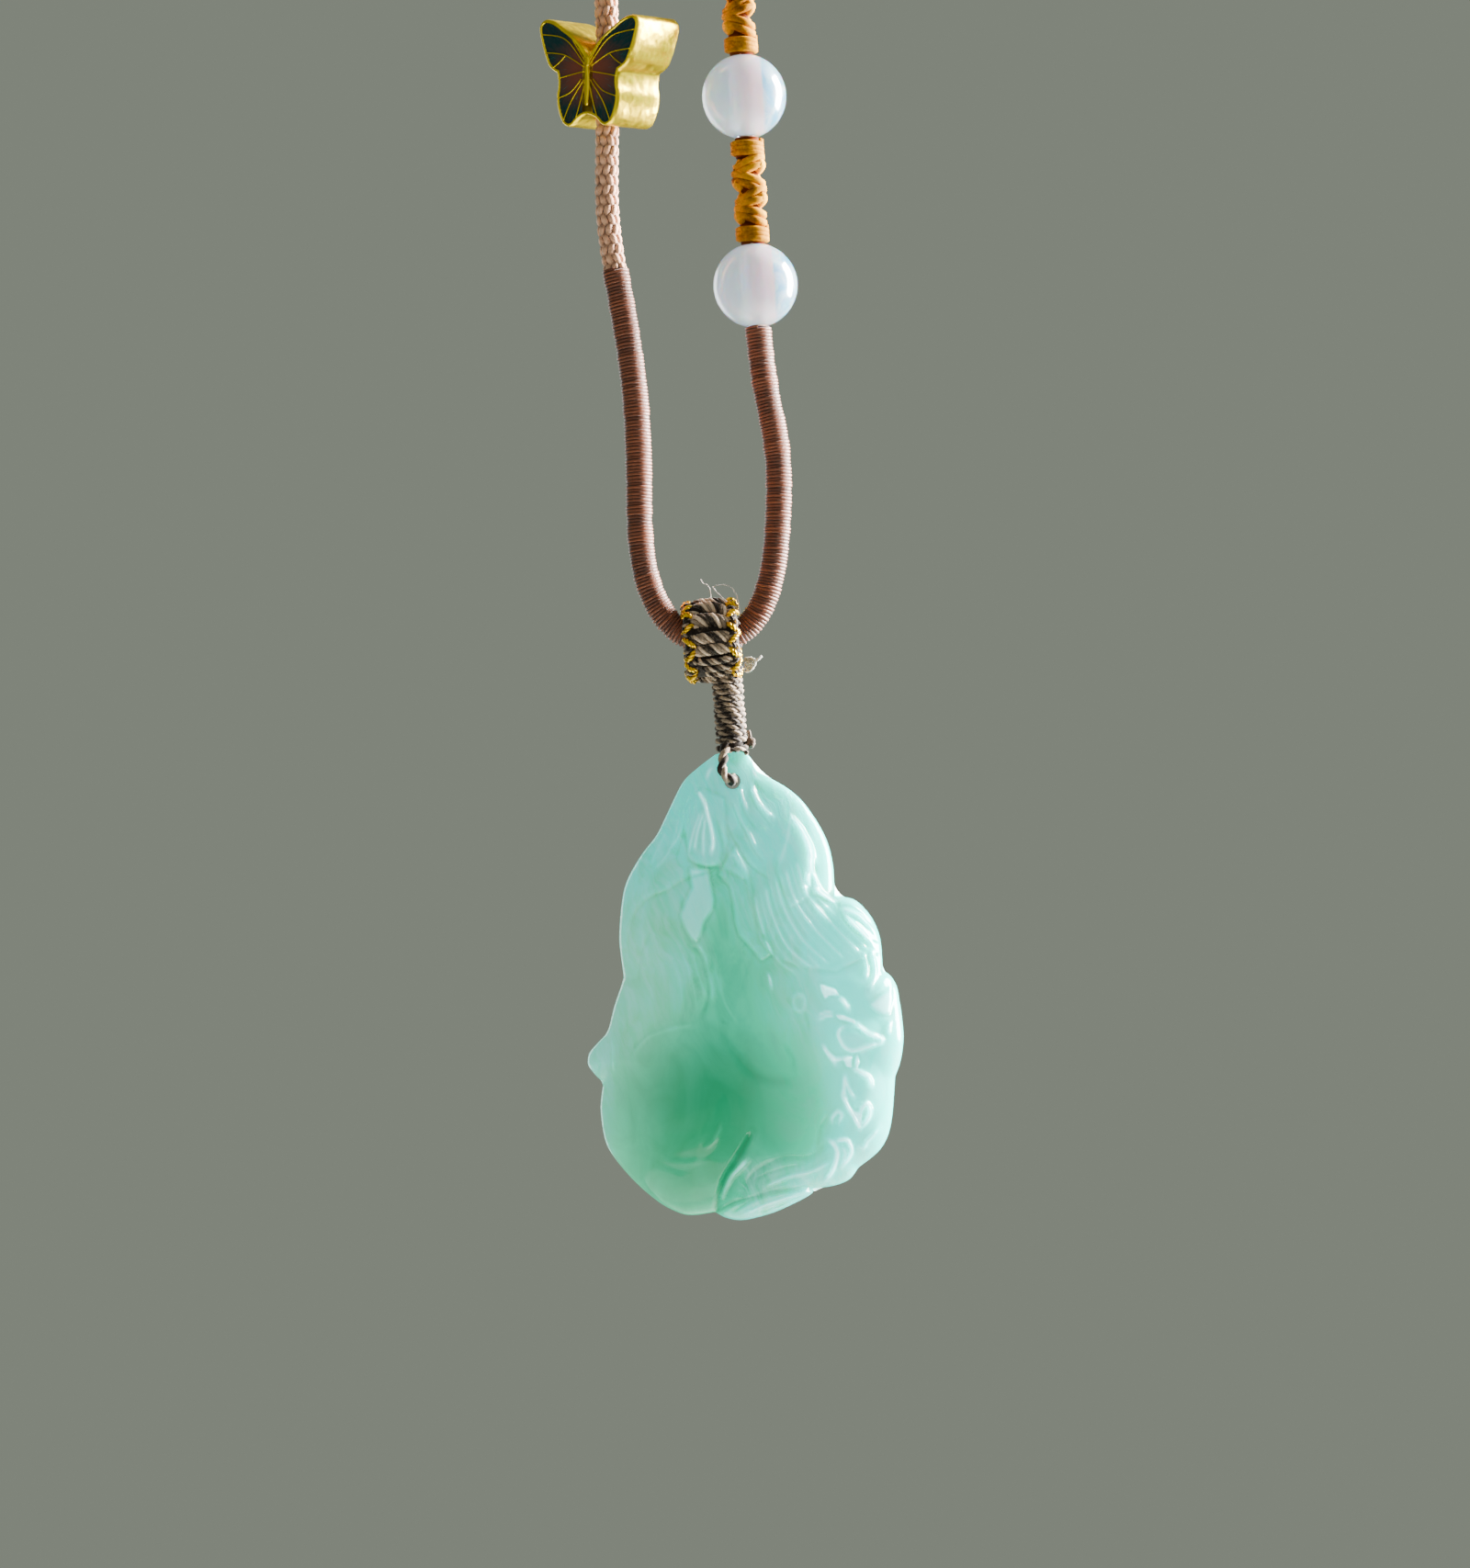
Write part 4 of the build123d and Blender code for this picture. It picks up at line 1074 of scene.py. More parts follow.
class PENDANT_OT_bail(bpy.types.Operator):
    """Knotted bail over the cord, with gold thread along its edges, loose ends and wisps"""
    bl_idname = "pendant.bail"
    bl_label = "Bail"

    def execute(self, context):
        self.sizes = settings("bail")
        thread = thread_material("olive_bail_thread", self.sizes.thread, 0.06, 3.8, 3500.0)
        lame = gilt_material("gold_edging_thread", self.sizes.lame, 0.28, 0.0001, 2500.0)
        rows = Shape()
        self.band(rows)
        self.rows(rows)
        piece("bail_rows", rows, thread, "drop", "olive_thread", "bail_knot")
        for seed, side in ((30, "left"), (32, "right")):
            under, over = Shape(), Shape()
            self.edging(under, over, *EDGES[side], random.Random(seed))
            piece("edging_under_" + side, under, thread, "drop", "olive_thread")
            piece("edging_gold_" + side, over, lame, "drop", "metallic_thread",
                  "bail_edging_" + side)
        self.loose_ends()
        return {"FINISHED"}

    def oval(self, turn, inset, across):
        """A place on the bail's side view: 0 is the top, a quarter turn the front."""
        high, deep = self.sizes.height / 2 - inset, self.sizes.depth / 2 - inset
        return Vector((across, -deep * math.sin(turn), PIVOT.z * MM + high * math.cos(turn)))

    def oval_out(self, turn):
        high, deep = self.sizes.height / 2, self.sizes.depth / 2
        return Vector((0, -high * math.sin(turn), deep * math.cos(turn))).normalized()

    def band(self, shape):
        """The ground under the rows, open round the cord."""
        cord, bend, room = settings("cords").wrap / 2, 5.5 * MM, 0.12 * MM
        sink, edge = 0.62 * MM, 0.35 * MM
        half = self.sizes.width / 2 - edge
        outer, inner = [], []
        for k in range(13):
            x = half * (k / 6 - 1)
            offset = PIVOT.x * MM + x
            inset = sink + edge * max(0, abs(x) / half - 0.8) / 0.2
            outer.append([self.oval(turn, inset, offset) for turn in turns_of(60)])
            rise = bend - math.sqrt(bend ** 2 - offset ** 2)
            bore = rise + cord / math.sqrt(1 - (offset / bend) ** 2) + room
            inner.append([Vector((offset, -bore * math.sin(turn),
                                  PIVOT.z * MM + bore * math.cos(turn))) for turn in turns_of(60)])
        # The band's near-black shade mark paints shade in the gaps between the rows.
        shape.grid(outer + inner[::-1], closed_rows=True, shade=0.05)

    def rows(self, shape):
        """Twisted bars across the band: those in front follow the photograph."""
        draw = random.Random(21)
        for z, left, right, thick, bow, tilt in FRONT_ROWS:
            turn = math.acos(max(-1, z / (self.sizes.height / 2 / MM)))
            self.row(shape, turn, left, right, thick, bow, tilt, draw)
        for turn in np.linspace(*BACK_ROWS):
            self.row(shape, turn, *BACK_ROW, draw.uniform(-0.12, 0.12), draw)

    def row(self, shape, turn, left, right, thick, bow, tilt, draw):
        """One bar of twisted plies, bowed upwards and tilted by so many millimetres."""
        round_to_turn = 2 / (self.sizes.height + self.sizes.depth) * 2 * MM
        points = []
        for k in range(17):
            share = k / 8 - 1
            rise = bow * (1 - share ** 2) + tilt * share - bow / 2
            sink = 0.8 * thick * abs(share) ** 4
            points.append(self.oval(turn - rise * round_to_turn, (thick * 0.8 + sink) * MM,
                                    (left + right + (right - left) * share) / 2 * MM))
        out = self.oval_out(turn)
        plies, ply, lay = (5, 0.29, 3.4) if thick > 0.5 else (3, 0.42, 3.6)
        ply *= thick * MM
        # The plies take turns between painted shade and painted highlight.
        shades = [tone + draw.uniform(-0.1, 0.1) for tone in (0.1, 0.95, 0.4, 1.1, 0.25)[:plies]]
        shape.rope(Line(points, out), plies, thick * MM - ply * 1.05, ply, lay * thick * MM, 6, 16,
                   shades, draw.uniform(0, 6))
        # The dark core shows between the plies as painted shade.
        shape.tube(points, [out] * len(points), thick * 0.6 * MM, thick * 0.6 * MM, 8, -0.3)

    def edging(self, under, over, inner, outer, draw):
        """Slanted stitches of gold and dark thread that cross over one edge of the bail."""
        middle, sink, half = (inner + outer) / 2 * MM, 0.85 * MM, 0.5 * MM
        under.tube([self.oval(turn, sink, middle) for turn in turns_of(72)],
                   [self.oval_out(turn) for turn in turns_of(72)], half, half, 10, 0.05,
                   closed=True)
        stitches, deepest = 17, 0.95
        for k in range(stitches):
            turn = TURN * (k + 0.35) / stitches
            for gold in (True, False):
                slant = (0.3 if gold else -0.26) * draw.uniform(0.6, 1.2) * (1 if k % 2 else -1)
                start = turn + draw.uniform(-0.05, 0.05) + (0.0 if gold else math.pi / stitches)
                high = draw.uniform(0.14, 0.3) if gold else draw.uniform(0.0, 0.12)
                points = []
                for n in range(11):
                    share = n / 10
                    bulge = math.sin(math.pi * share) ** 0.7
                    x = inner + (outer - inner) * share * draw.uniform(0.98, 1.02)
                    inset = deepest - bulge * (0.5 + high)
                    points.append(self.oval(start + slant * (share - 0.5), inset * MM, x * MM))
                line = Line(points, self.oval_out(start - slant / 2))
                if gold:
                    over.rope(line, 3, 0.14 * MM, 0.14 * MM, 1.3 * MM, 6, 14)
                else:
                    under.rope(line, 2, 0.11 * MM, 0.16 * MM, 0.9 * MM, 6, 14, (0.1, 0.5))

    def fine_threads(self, runs):
        """Threads, each with a half thickness and stops beside, in front and over the axis."""
        shape = Shape()
        for size, stops in runs:
            points = smooth_points("wisp", [(x, y, PIVOT.z + z) for x, y, z in stops])[::2]
            shape.tube(points, [FRONT] * len(points), size * MM, size * MM, 6, 0.8)
        return shape

    def loose_ends(self):
        """Melted thread ends on the right, and the pale wisps over the bail."""
        melted, tree, shader = new_material("melted_thread_end", Roughness=0.3,
                                            Transmission_Weight=0.35, IOR=1.45)
        clouds = clouds_in(tree, 900.0)
        tree.links.new(mix_colours(tree, clouds["Clouds"], colour_of("c4c0ae"),
                                   colour_of("f8f8f2")), shader.inputs["Base Color"])
        bump(tree, shader, clouds["Flecks"], 0.4, 0.0001)
        brown = thread_material("singed_thread_end", [part * 0.5 for part in self.sizes.thread],
                                0.5, 1.4)
        pale = thread_material("pale_wisp_thread", colour_of("f4f0ea"), 0.9, 1.05)
        for end, material, seed, tall, slip in (("upper", melted, 4, 0.8, (0, 0)),
                                                ("lower", brown, 9, 1.15, (-0.35, -0.3))):
            low, high = corners("thread_nub_" + end)
            half = (high.x - low.x) / 2
            shape = Shape()
            shape.blob((low + high) / 2 + spot(*slip), (half, half * 0.9, half * tall), 0.16, seed)
            piece("nub_" + end + "_end", shape, material, "drop", "olive_thread",
                  "thread_nub_" + end)
        tangle = self.fine_threads([(0.13, stops) for stops in MELTED_LOOPS])
        tangle.blob(Vector((3.25, -0.1, PIVOT.z - 2.45)) * MM, (0.5 * MM, 0.35 * MM, 0.6 * MM),
                    0.25, 6, 0.8)
        for name, shape, material in (("nub_tangle", tangle, melted),
                                      ("nub_tail", self.fine_threads([(0.16, TIE_TAIL)]), brown),
                                      ("wisps", self.fine_threads(WISPS), pale)):
            piece(name, shape, material, "drop", "olive_thread")


class PENDANT_OT_stem(bpy.types.Operator):
    """Wound stem under the bail and the twisted thread through the stone's hole"""
    bl_idname = "pendant.stem"
    bl_label = "Stem and thread"

    def execute(self, context):
        sizes = settings("bail")
        low, high = corners("wrapped_stem")
        axis, bottom, ply = (low.x + high.x) / 2, low.z - 0.5 * MM, 0.17 * MM
        sag_below, slant, flare = 0.8 * MM, 0.13 * MM, 0.1 * MM
        draw = random.Random(17)
        steps, turns = 24, sizes.turns + 2
        jitter = [draw.uniform(-0.06, 0.06) * MM for _ in range(turns + 2)]
        points = []
        for k in range(turns * steps + 1):
            full, share = k // steps, k % steps / steps
            turn = TURN * share
            lift = blend(jitter, full, share)
            sag = sag_below * max(0, 1 - (full + share) / 2.4) * (1 - math.sin(turn)) / 2
            z = bottom + ply + sizes.turn_pitch * k / steps + lift - sag
            z -= slant * math.cos(turn)
            wider = flare * max(0, 1 - abs(full + share - 1) / 1.5)
            radius = sizes.stem / 2 - 1.7 * ply + wider + lift * 0.5
            points.append(Vector((axis + radius * math.cos(turn), radius * math.sin(turn), z)))
        shape = Shape()
        shape.rope(Line(points, UP), 2, 0.09 * MM, ply * 1.15, 1.5 * MM, 6, 9, (0.2, 0.6))
        core = sizes.stem / 2 - 0.42 * MM
        # The dark core shows between the turns as painted shade.
        shape.tube([Vector((axis, -0.2 * MM, bottom)), Vector((axis, 0, high.z + 0.4 * MM))],
                   [FRONT, FRONT], core, core, 20, -0.1)
        material = thread_material("olive_stem_thread", sizes.thread, 0.07, 3.4, 3500.0)
        piece("stem_winding", shape, material, "drop", "olive_thread", "wrapped_stem")
        self.thread(material)
        return {"FINISHED"}

    def thread(self, material):
        """Two-ply thread from the stem's front, through the hole and up behind the stone."""
        low, high = [corner / MM for corner in corners("hanging_thread")]
        half, x = 0.45, THREAD_PLACE[0]
        front, back = low.y + half, high.y - half
        level, top = low.z + half, high.z
        stops = [(0.45, -1.1, top + 0.6), (0.42, -1.15, top - 0.1), (0.1, front + 0.15, top - 0.9),
                 (-0.3, front, level + 0.8), (x, front + 0.1, level - 0.02), (x, 0.5, level),
                 (x, back, level + 0.1), (0.75, back, level + 1.6), (0.85, 1.3, top - 0.1),
                 (0.85, 1.0, top + 0.6)]
        line = Line(smooth_points("hanging_thread", stops), Vector((1, 0, 0)))
        shape = Shape()
        shape.rope(line, 2, 0.23 * MM, 0.28 * MM, 2.1 * MM, 8, 14, (0.1, 0.6))
        piece("loop_thread", shape, material, "drop", "olive_thread", "hanging_thread")


# Jade

# Places on the stone are in thousandths of its width, from the left, and of its height, from the
# top. Its outline is made of smooth stretches between its notches, clockwise from the top.
STONE_OUTLINE = {
    "crown": [(403, 7), (440, 1), (475, 0), (500, 5), (516, 16), (524, 31), (535, 43)],
    "shoulder": [(535, 43), (622, 75), (673, 103), (709, 134), (740, 168), (763, 205), (776, 250),
        (780, 309)],
    "knob": [(780, 309), (827, 312.5), (858, 323.6), (894, 351), (919, 386), (928, 420),
        (932, 468)],
    "brow": [(932, 468), (955, 477), (976, 500), (985, 531), (994, 572), (998, 613), (989, 658),
        (971, 693)],
    "muzzle": [(971, 693), (967, 738), (960, 786), (945, 824), (914, 855), (855, 886)],
    "chin": [(855, 886), (827, 911), (776, 925), (709, 930)],
    "tail_tip": [(709, 930), (705, 943), (622, 972), (560, 987.5), (489, 998), (437, 993),
        (403, 981)],
    "ball": [(403, 981), (330, 987.5), (283, 981), (222, 958.5), (150, 917), (88, 869), (56, 831),
        (42, 779), (41, 745), (50, 702)],
    "nub": [(50, 702), (32, 695), (4, 672), (0, 658), (6, 641), (32, 620), (56, 603), (68, 586)],
    "haunch": [(68, 586), (83, 544), (100, 510), (114, 482)],
    "flank": [(114, 482), (104, 434), (99, 393), (107, 324), (124, 275), (170, 220), (217, 179),
        (253, 130), (299, 68), (345, 37), (403, 7)],
}
NET_CORNERS = [(403, 7), (535, 43), (622, 972), (222, 958.5)]
# Middle of the hole in the stone. In millimetres: its radius, and where it hangs, across and over
# the pendant's axis.
HOLE = (457, 63.5)
HOLE_RADIUS, THREAD_PLACE = 0.75, (0.73, -13.4)

# Carved fields: rise as a share of the relief, softness of the edge as a share of the width, how
# pale the stone is there (values of 1 and over are painted highlights), and the field's outline.
FIELDS = {
    "crown_mass": (0.3, 0.028, 0.2, [(400, -50), (600, -50), (900, 150), (1100, 420), (930, 430),
        (860, 440), (780, 465), (680, 455), (600, 440), (545, 400), (527, 340), (500, 270),
        (420, 245), (324, 264), (287, 277), (250, 294), (213, 302), (176, 316), (150, 338),
        (135, 358), (120, 420), (0, 420), (0, 200)]),
    "lobe": (0.35, 0.015, 0.3, [(300, 130), (360, 80), (430, 100), (439, 190), (431, 229),
        (416, 242), (379, 244), (342, 237), (324, 228)]),
    "drop_leaf": (0.6, 0.018, 0.8, [(324, 249), (379, 250), (390, 284), (398, 314), (394, 334),
        (368, 361), (357, 388), (344, 401), (331, 398), (316, 383), (302, 363), (294, 348),
        (309, 319), (331, 289)]),
    "tress": (0.4, 0.018, 0.3, [(416, 261), (450, 284), (461, 319), (465, 358), (479, 388),
        (520, 418), (546, 441), (583, 428), (576, 413), (546, 388), (528, 363), (518, 304),
        (500, 240), (470, 200), (440, 230)]),
    "ear": (0.4, 0.02, 0.1, [(640, 135), (680, 165), (705, 200), (710, 250), (695, 310),
        (640, 330), (595, 250), (625, 195)]),
    "knob": (0.45, 0.02, 0.3, [(790, 300), (950, 330), (940, 410), (880, 400), (810, 355)]),
    "cheek": (0.5, 0.06, 0.3, [(720, 470), (930, 470), (1050, 600), (990, 700), (900, 860),
        (780, 860), (740, 750), (700, 620)]),
    "tail_sweep": (0.35, 0.06, 0.3, [(520, 800), (470, 865), (430, 930), (400, 1020), (620, 1020),
        (780, 920), (830, 860), (760, 820), (680, 860), (600, 855)]),
    "tail_end": (0.45, 0.02, 0.3, [(400, 985), (460, 960), (580, 935), (700, 925), (750, 930),
        (600, 1050), (420, 1050)]),
    "brow_facet": (0.5, 0.01, 2.0, [(732, 492), (762, 499), (781, 503), (788, 514), (762, 515),
        (747, 522), (738, 509)]),
    "eye": (0.3, 0.012, 0.3, [(839, 570), (877, 594), (921, 606), (901, 620), (868, 627),
        (839, 633), (810, 627), (791, 609), (786, 593), (800, 580)]),
    "lid_facet": (0.45, 0.009, 2.0, [(781, 557), (800, 557), (839, 567), (839, 574), (791, 565)]),
    "cheek_facet": (0.4, 0.009, 1.7, [(805, 649), (832, 645), (829, 667), (815, 666)]),
    "tear": (0.4, 0.008, 1.4, [(848, 641), (858, 658), (846, 669), (841, 658)]),
    "nose_facet": (0.4, 0.01, 1.8, [(815, 742), (836, 760), (862, 766), (862, 785), (853, 795)]),
    "rim_facet": (0.35, 0.014, 1.0, [(959, 494), (962, 525), (950, 557), (930, 557), (906, 548),
        (887, 535), (916, 522), (945, 509)]),
    "nub": (-0.5, 0.03, 0.2, [(62, 600), (70, 660), (75, 710), (-100, 750), (-100, 550)]),
}
# Round bosses: middle as shares of the width and height, radii as shares of the width, and rise
# as a share of the relief.
BOSSES = {
    "ball": (0.3, 0.772, 0.262, 0.275, 1.5),
    "ball_disc": (0.3, 0.765, 0.15, 0.155, 0.35),
    "haunch": (0.22, 0.46, 0.17, 0.27, 0.6),
    "brow_bump": (0.83, 0.6, 0.1, 0.07, 0.45),
    "muzzle_bump": (0.87, 0.72, 0.07, 0.1, 0.4),
    "belly": (0.58, 0.585, 0.2, 0.24, 0.45),
}
# Grooves and ridges: half width as a share of the width, rise as a share of the relief (cut when
# negative), and the line.
CUTS = {
    "body": [
        (0.009, -0.36, [(325, 412), (353, 425), (372, 450), (383, 488), (385, 513), (375, 540),
            (360, 560)]),
        (0.007, 0.3, [(346, 403), (368, 433), (379, 463), (392, 500), (390, 528)]),
        (0.018, -0.14, [(356, 563), (440, 607), (500, 665), (560, 690), (660, 697)]),
        (0.005, 0.14, [(331, 426), (342, 451), (353, 476), (372, 518)]),
        (0.005, 0.12, [(300, 430), (318, 460), (335, 500), (345, 540)]),
        (0.005, 0.1, [(270, 440), (290, 480), (300, 530)]),
        (0.005, 0.1, [(420, 470), (425, 510), (450, 550)]),
        (0.005, 0.1, [(400, 440), (410, 480), (430, 530), (470, 570)]),
        (0.006, -0.12, [(200, 380), (170, 430), (160, 490)]),
        (0.005, 0.45, [(567, 467), (574, 480), (579, 499)]),
        (0.006, -0.12, [(622, 619), (646, 645), (651, 671)]),
        (0.004, -0.15, [(425, 565), (430, 572), (440, 575)])],
    "crown": [
        (0.005, 0.2, [(355, 130), (335, 170), (320, 210), (318, 228)]),
        (0.008, -0.36, [(324, 230), (342, 240), (375, 247), (410, 242), (424, 225), (427, 205),
            (418, 175), (405, 140)]),
        (0.006, 0.5, [(343, 80), (368, 108), (380, 137), (391, 165), (396, 196), (390, 215)]),
        (0.008, 0.4, [(400, 30), (382, 45), (375, 65)]),
        (0.005, -0.4, [(454, 108), (472, 140), (500, 177), (523, 209), (551, 234)]),
        (0.005, 0.25, [(462, 108), (481, 140), (509, 174), (533, 205)]),
        (0.005, -0.32, [(440, 158), (468, 196), (495, 228), (532, 253), (570, 270)]),
        (0.005, 0.12, [(435, 184), (449, 209), (486, 240), (518, 265)]),
        (0.006, 0.45, [(482, 75), (490, 100), (507, 127)]),
        (0.005, -0.32, [(475, 85), (484, 112), (503, 140), (530, 165)]),
        (0.006, 0.4, [(518, 74), (532, 99), (555, 121), (583, 140)]),
        (0.005, -0.4, [(514, 90), (528, 115), (555, 140), (580, 160)]),
        (0.006, -0.4, [(528, 67), (536, 76), (546, 86)]),
        (0.007, 0.5, [(522, 32), (526, 47), (536, 58)]),
        (0.009, 0.4, [(636, 137), (627, 177), (615, 209), (597, 240)]),
        (0.005, 0.25, [(366, 130), (347, 171), (338, 209)]),
        (0.005, 0.25, [(372, 140), (366, 177), (366, 220)]),
        (0.005, 0.25, [(324, 93), (301, 127), (292, 171), (269, 203)]),
        (0.006, 0.2, [(292, 130), (273, 184), (250, 220), (210, 250)]),
        (0.005, -0.22, [(310, 130), (300, 180), (280, 225)]),
        (0.005, 0.2, [(250, 170), (225, 200), (200, 240)]),
        (0.005, -0.2, [(335, 110), (318, 150), (308, 190)])],
    "right_side": [
        (0.007, -0.28, [(700, 300), (740, 312), (790, 330), (820, 370), (880, 400)]),
        (0.006, 0.6, [(713, 284), (731, 300), (754, 309), (782, 320)]),
        (0.007, 0.5, [(648, 140), (676, 168), (694, 196), (703, 228), (694, 265), (690, 284)]),
        (0.009, 0.5, [(690, 180), (704, 205), (712, 235)]),
        (0.005, -0.22, [(790, 325), (840, 335), (900, 370)]),
        (0.005, 0.3, [(800, 335), (850, 345), (900, 378)]),
        (0.005, -0.22, [(810, 345), (860, 360), (900, 390)]),
        (0.005, 0.3, [(815, 358), (850, 375), (885, 398)]),
        (0.006, 0.35, [(895, 425), (906, 450), (906, 476), (887, 502)]),
        (0.005, 0.3, [(870, 430), (880, 455), (875, 480)]),
        (0.005, 0.3, [(954, 573), (949, 586), (947, 600)])],
    "face": [
        (0.006, 0.28, [(665, 512), (680, 518), (685, 530), (678, 543), (665, 546), (652, 540),
            (648, 527), (653, 516), (665, 512)]),
        (0.006, -0.22, [(683, 548), (690, 560), (700, 590)]),
        (0.007, 0.55, [(788, 518), (810, 533), (822, 548)]),
        (0.005, 0.4, [(723, 559), (743, 552), (771, 550)]),
        (0.005, 0.4, [(728, 565), (752, 559), (781, 557)]),
        (0.006, 0.6, [(839, 570), (877, 594), (921, 606), (923, 614), (901, 620), (868, 627),
            (839, 633), (810, 627), (791, 609), (786, 593), (800, 580)]),
        (0.008, -0.4, [(820, 585), (850, 590), (880, 605)]),
        (0.006, 0.6, [(740, 619), (757, 638), (781, 650), (805, 648), (829, 645)]),
        (0.007, 0.4, [(760, 642), (775, 655), (785, 664)]),
        (0.006, 0.6, [(829, 667), (868, 682), (887, 693), (892, 709)]),
        (0.006, 0.5, [(810, 683), (807, 709), (805, 729)]),
        (0.008, 0.75, [(805, 725), (819, 751), (839, 774), (853, 795)]),
        (0.006, 0.4, [(812, 693), (824, 716), (842, 732)]),
        (0.006, 0.65, [(858, 771), (863, 755), (877, 745), (889, 758), (882, 777), (858, 794)]),
        (0.006, 0.4, [(770, 782), (769, 774), (786, 761), (800, 768), (790, 783)])],
    "beard": [
        (0.007, 0.65, [(757, 819), (781, 836), (786, 855), (774, 884), (752, 910)]),
        (0.007, 0.65, [(781, 823), (815, 821), (832, 842), (822, 862), (800, 878)]),
        (0.005, 0.35, [(800, 835), (812, 850), (803, 868)]),
        (0.006, -0.15, [(757, 771), (733, 800), (723, 839)]),
        (0.007, 0.3, [(850, 830), (870, 840), (880, 825), (920, 800)])],
    "tail": [
        (0.011, -0.36, [(520, 800), (470, 865), (435, 905), (410, 960), (400, 990)]),
        (0.008, 0.4, [(505, 860), (470, 885), (450, 900), (430, 930), (415, 955)]),
        (0.012, -0.2, [(490, 955), (500, 920), (540, 885), (620, 862), (700, 860), (760, 825)]),
        (0.005, -0.2, [(460, 975), (520, 950), (600, 935), (680, 930)]),
        (0.005, 0.2, [(500, 980), (570, 958), (650, 942)]),
        (0.005, -0.18, [(540, 980), (610, 962), (680, 945)]),
        (0.006, 0.22, [(560, 920), (630, 900), (700, 890), (760, 870)]),
        (0.006, -0.16, [(530, 905), (600, 885), (680, 875)])],
    "ball": [
        (0.006, 0.14, [(147, 642), (181, 610), (221, 596), (270, 585), (330, 580)]),
        (0.012, 0.05, [(150, 750), (180, 820), (240, 860), (310, 870), (370, 860)]),
        (0.005, 0.12, [(375, 835), (400, 820), (425, 785)]),
        (0.006, 0.2, [(75, 600), (80, 640), (80, 680)])],
}
# Strands of the mane: two guides, and the number of strands between them.
MANE = ([(527, 305), (545, 360), (585, 430), (655, 468)],
        [(690, 215), (730, 290), (810, 345), (905, 415)], 11)
# Depth of the green: middle and radii as for the bosses, and how deep it is there.
GREENS = [
    (0.42, 0.45, 0.34, 0.5, 0.38), (0.44, 0.72, 0.26, 0.22, 0.85), (0.31, 0.8, 0.25, 0.26, 0.8),
    (0.55, 0.84, 0.17, 0.14, 0.5), (0.3, 0.93, 0.24, 0.16, 0.7), (0.43, 0.36, 0.05, 0.16, 0.25),
    (0.5, 0.48, 0.1, 0.14, 0.25), (0.68, 0.74, 0.12, 0.2, 0.35),
]


def shares(places):
    return [(across / 1000, down / 1000) for across, down in places]


def smooth_line(points, steps):
    """Points along a smooth curve through all the given ones."""
    ends = [points[0]] + points + [points[-1]]
    found = []
    for k in range(1, len(ends) - 2):
        before, here, there, after = [np.array(p, float) for p in ends[k - 1:k + 3]]
        for step in range(steps):
            t = step / steps
            found.append(0.5 * (2 * here + (there - before) * t
                                + (2 * before - 5 * here + 4 * there - after) * t ** 2
                                + (3 * here - before - 3 * there + after) * t ** 3))
    return found + [np.array(points[-1], float)]


def ease(value):
    value = np.clip(value, 0, 1)
    return value * value * (3 - 2 * value)


def near_line(points, line):
    """Distance from each of many points to a line of straight stretches."""
    best = np.full(len(points), 1e9)
    for start, end in zip(line, line[1:]):
        run = end - start
        square = float(run @ run)
        if square == 0:
            continue
        along = np.clip((points - start) @ run / square, 0, 1)
        best = np.minimum(best, np.hypot(*(points - start - along[:, None] * run).T))
    return best


def inside(points, ring):
    """Which of many points lie within a closed ring."""
    odd = np.zeros(len(points), bool)
    for start, end in zip(ring, ring[1:] + ring[:1]):
        spans = (start[1] > points[:, 1]) != (end[1] > points[:, 1])
        if start[1] == end[1]:
            continue
        share = (points[:, 1] - start[1]) / (end[1] - start[1])
        odd ^= spans & (points[:, 0] < start[0] + share * (end[0] - start[0]))
    return odd


def spaced(count):
    """Shares from 0 to 1, closer together at both ends."""
    k = np.arange(count + 1) / count
    return 0.45 * k + 0.275 * (1 - np.cos(math.pi * k))


